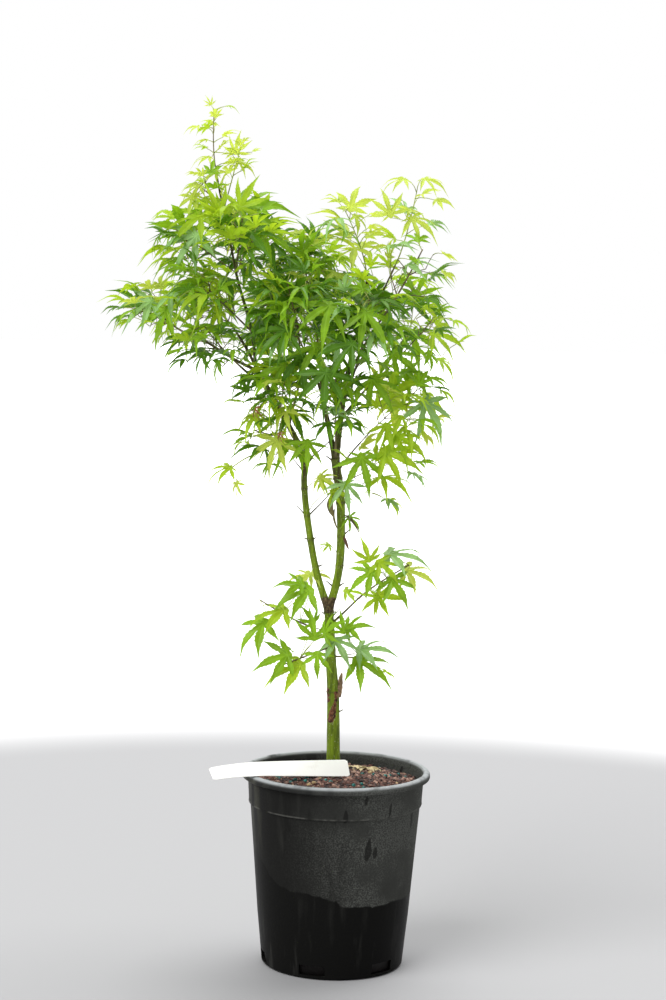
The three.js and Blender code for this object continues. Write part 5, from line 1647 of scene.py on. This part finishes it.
class MAPLE_OT_foliage(MapleStep):
    """Grows the twigs, stalks and leaves of every mass and sets them out"""

    bl_idname = "maple.foliage"
    bl_label = "Foliage"

    def make(self, sizes, colours):
        limbs = grow_limbs()
        stems = [Stem(name, limbs) for name in MASSES]
        twigs, stalks = Shape(), Shape()
        places = {green: [] for green in GLOW}
        held = {green: set() for green in GLOW}
        for stem in stems:
            name = stem.space.name
            obstacles = Obstacles([*limbs.values(), *(other for other in stems if other is not stem)])
            seed = seed_of(name)
            finer = seeded_draw(seed + 1)
            shoots, spots = grow_shoots(stem, obstacles, seeded_draw(seed), finer)
            leaves = grow_leaves(stem, spots, obstacles, finer, sizes.leaf_spacing / MM, sizes.leaf_share)
            bearing = pruned(shoots, [leaf[0] for leaf in leaves])
            self.add_twigs(stalks if name in GREEN_TWIGS else twigs, stem, *bearing)
            greens = {}
            for point, base, axes, size, spray in leaves:
                green = greens.get(spray) or self.green_of(stem.space, base, finer)
                greens[spray] = green if finer(0, 1) < SAME_GREEN else None
                by_hand = spray in GLOW
                green = spray if by_hand else green
                pick = int(finer(0, GROWN_STYLES))
                if by_hand:
                    pick = int(not name.startswith("low"))
                elif green == "lime" or size < YOUNG_BLADE:
                    pick += GROWN_STYLES
                places[green].append((base, axes, size * MM, pick))
                held[green].add("foliage_" + name)
                self.add_stalk(stalks, point, base, axes, size)
        for limb, height, offset, midrib, face, size, green in SINGLE_LEAVES:
            root, _ = limbs[limb].at_height(height)
            base, axes = root + offset, leaf_axes(midrib, face)
            places[green].append((base, axes, size * MM, 1))
            self.add_stalk(stalks, root, base, axes, size)
        every = ["foliage_" + name for name in MASSES]
        twig = plain_finish("young_twig", colours.twig, 0.4, 160)
        finished(twigs.build("foliage_twigs", twig), every)
        stalk = plain_finish("leaf_stalk", colours.petiole, 0.25, 90, 0.5, 0.15)
        finished(stalks.build("leaf_stalks", stalk), every)
        blades = collected("blades", [
            blade_shape(f"blade_{number}", style, number) for number, style in enumerate(BLADE_STYLES)
        ])
        tree = set_out_tree()
        for green, glow in GLOW.items():
            finish = leaf_finish(f"{green}_leaf", getattr(colours, green), glow)
            piece = set_out(f"leaves_{green}", places[green], blades, finish, tree)
            finished(piece, sorted(held[green]))
        cleared(blades)

    def green_of(self, space, base, draw):
        """Deeper greens low and inside, partly painted shade, lime at the tips; pale ones are painted sky
        reflection.
        """
        depth = space.depth + DEPTH["base"] + draw(-DEPTH["chance"], DEPTH["chance"])
        depth -= DEPTH["low"] * (base[2] - space.middle[2]) / space.reach[2]
        depth += DEPTH["inner"] * (1 - np.linalg.norm(outward(base)))
        depth += DEPTH["core"] * (DEPTH["core_edge"] - np.linalg.norm((base - space.middle) / space.reach))
        # A pale green is a painted reflection of the sky.
        if draw(0, 1) < PAINTED_SKY_SHEEN["chance"] and depth > PAINTED_SKY_SHEEN["from"]:
            return "pale"
        for limit, green in GREEN_LIMITS:
            if depth < limit:
                return green
        return "deep"

    def add_twigs(self, shape, stem, shoots, roots):
        shares = np.linspace(0, 1, 3 * stem.joints + 1)
        line = np.array([stem.curve(share) for share in shares])
        near = np.linalg.norm(line[:, None] - roots, axis=2).min(1) < ROOT_REACH
        count = max(2, np.flatnonzero(near).max()) + 1 if near.any() else 2
        shares, line = shares[:count], line[:count]
        first, last = GROWTH["stem_radius"]
        slim = HAIR_THIN.get(stem.space.name, FINER["slim"][0 if stem.space.young else 1])
        shape.add(*tube(line, (first + (last - first) * shares) * slim, STEM_SIDES))
        for points, (first, last) in shoots:
            shape.add(*tube(points, np.array([first, (first + last) / 2, last]) * slim, TWIG_SIDES))

    def add_stalk(self, shape, root, base, axes, size):
        """A leaf's stalk, sagging a little, and running on under the foot of the blade."""
        end = base + axes[0] * 0.03 * size - axes[2] * 0.2
        length = np.linalg.norm(end - root)
        middle = (root + end) / 2 + (UP * 0.12 - axes[0] * 0.1) * length
        curve = bent_curve(root, middle, end)
        line = np.array([curve(share) for share in (0, 0.33, 0.67, 1)])
        shape.add(*tube(line, np.linspace(*FINER["petiole_radius"], len(line)), TWIG_SIDES))


def curled_strip(line, width, across):
    """A narrow dry leaf along a line: a rib and an edge on either side, folded and drawn to a tip."""
    steps = 4 * len(line)
    curve = smooth_curve(line)
    points, faces = [], []
    for step in range(steps + 1):
        share = step / steps
        half = width / 2 * math.sin(math.pi * min(1.0, 0.08 + share * 0.9)) ** 0.8
        rib = curve(share)
        way = unit(curve(min(1.0, share + 0.02)) - curve(max(0.0, share - 0.02)))
        fold = np.cross(way, across) * half * 0.7
        points += [rib - across * half + fold, rib, rib + across * half + fold]
        if step:
            a = 3 * step
            faces += [(a - 3, a - 2, a + 1, a), (a - 2, a - 1, a + 2, a + 1)]
    return np.array(points), faces


class MAPLE_OT_dead_bits(MapleStep):
    """Makes the dried leaf and the scraps that hang on the stems"""

    bl_idname = "maple.dead_bits"
    bl_label = "Dead bits"

    def make(self, sizes, colours):
        limbs = grow_limbs()
        shape = Shape()
        for limb, height, starts, width, sideways in DEAD_BITS:
            root, _ = limbs[limb].at_height(height)
            line = [root + np.array(place, float) for place in starts]
            shape.add(*curled_strip(line, width, np.array(sideways, float)))
        finish = Finish("dried_leaf")
        grain = finish.patches(330, 3, 0.3, 0.7, 0.3)
        olive = finish.blend(grain, shaded(colours.dead, 0.45), colours.dead)
        rusty = finish.blend(grain, shaded(colours.scar, 0.5), colours.scar)
        colour = finish.blend(finish.ramp(finish.axes()[2], *RUSTY_BELOW), olive, rusty)
        normal = finish.bump(grain, 0.5, 0.0004)
        finished(shape.build("dried_leaves", finish.close(colour, 0.7, normal)))


class MAPLE_PT_panel(bpy.types.Panel):
    """Lists the steps and the settings of the maple"""

    bl_idname = "MAPLE_PT_panel"
    bl_label = "Potted maple"
    bl_space_type = "VIEW_3D"
    bl_region_type = "UI"
    bl_category = "Maple"

    def draw(self, context):
        for step in STEPS:
            self.layout.operator(step.bl_idname)
        for group in (context.scene.maple_sizes, context.scene.maple_colours):
            for name in group.__annotations__:
                self.layout.prop(group, name)


STEPS = (
    MAPLE_OT_stage, MAPLE_OT_pot, MAPLE_OT_mix, MAPLE_OT_label, MAPLE_OT_bark, MAPLE_OT_foliage,
    MAPLE_OT_dead_bits,
)
CLASSES = (MapleSizes, MapleColours, *STEPS, MAPLE_PT_panel)


def register():
    for each in CLASSES:
        bpy.utils.register_class(each)
    bpy.types.Scene.maple_sizes = bpy.props.PointerProperty(type=MapleSizes)
    bpy.types.Scene.maple_colours = bpy.props.PointerProperty(type=MapleColours)


def unregister():
    del bpy.types.Scene.maple_sizes
    del bpy.types.Scene.maple_colours
    for each in reversed(CLASSES):
        bpy.utils.unregister_class(each)


def main():
    register()
    for step in STEPS:
        getattr(bpy.ops.maple, step.bl_idname.split(".")[1])()
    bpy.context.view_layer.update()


if __name__ == "__main__":
    main()
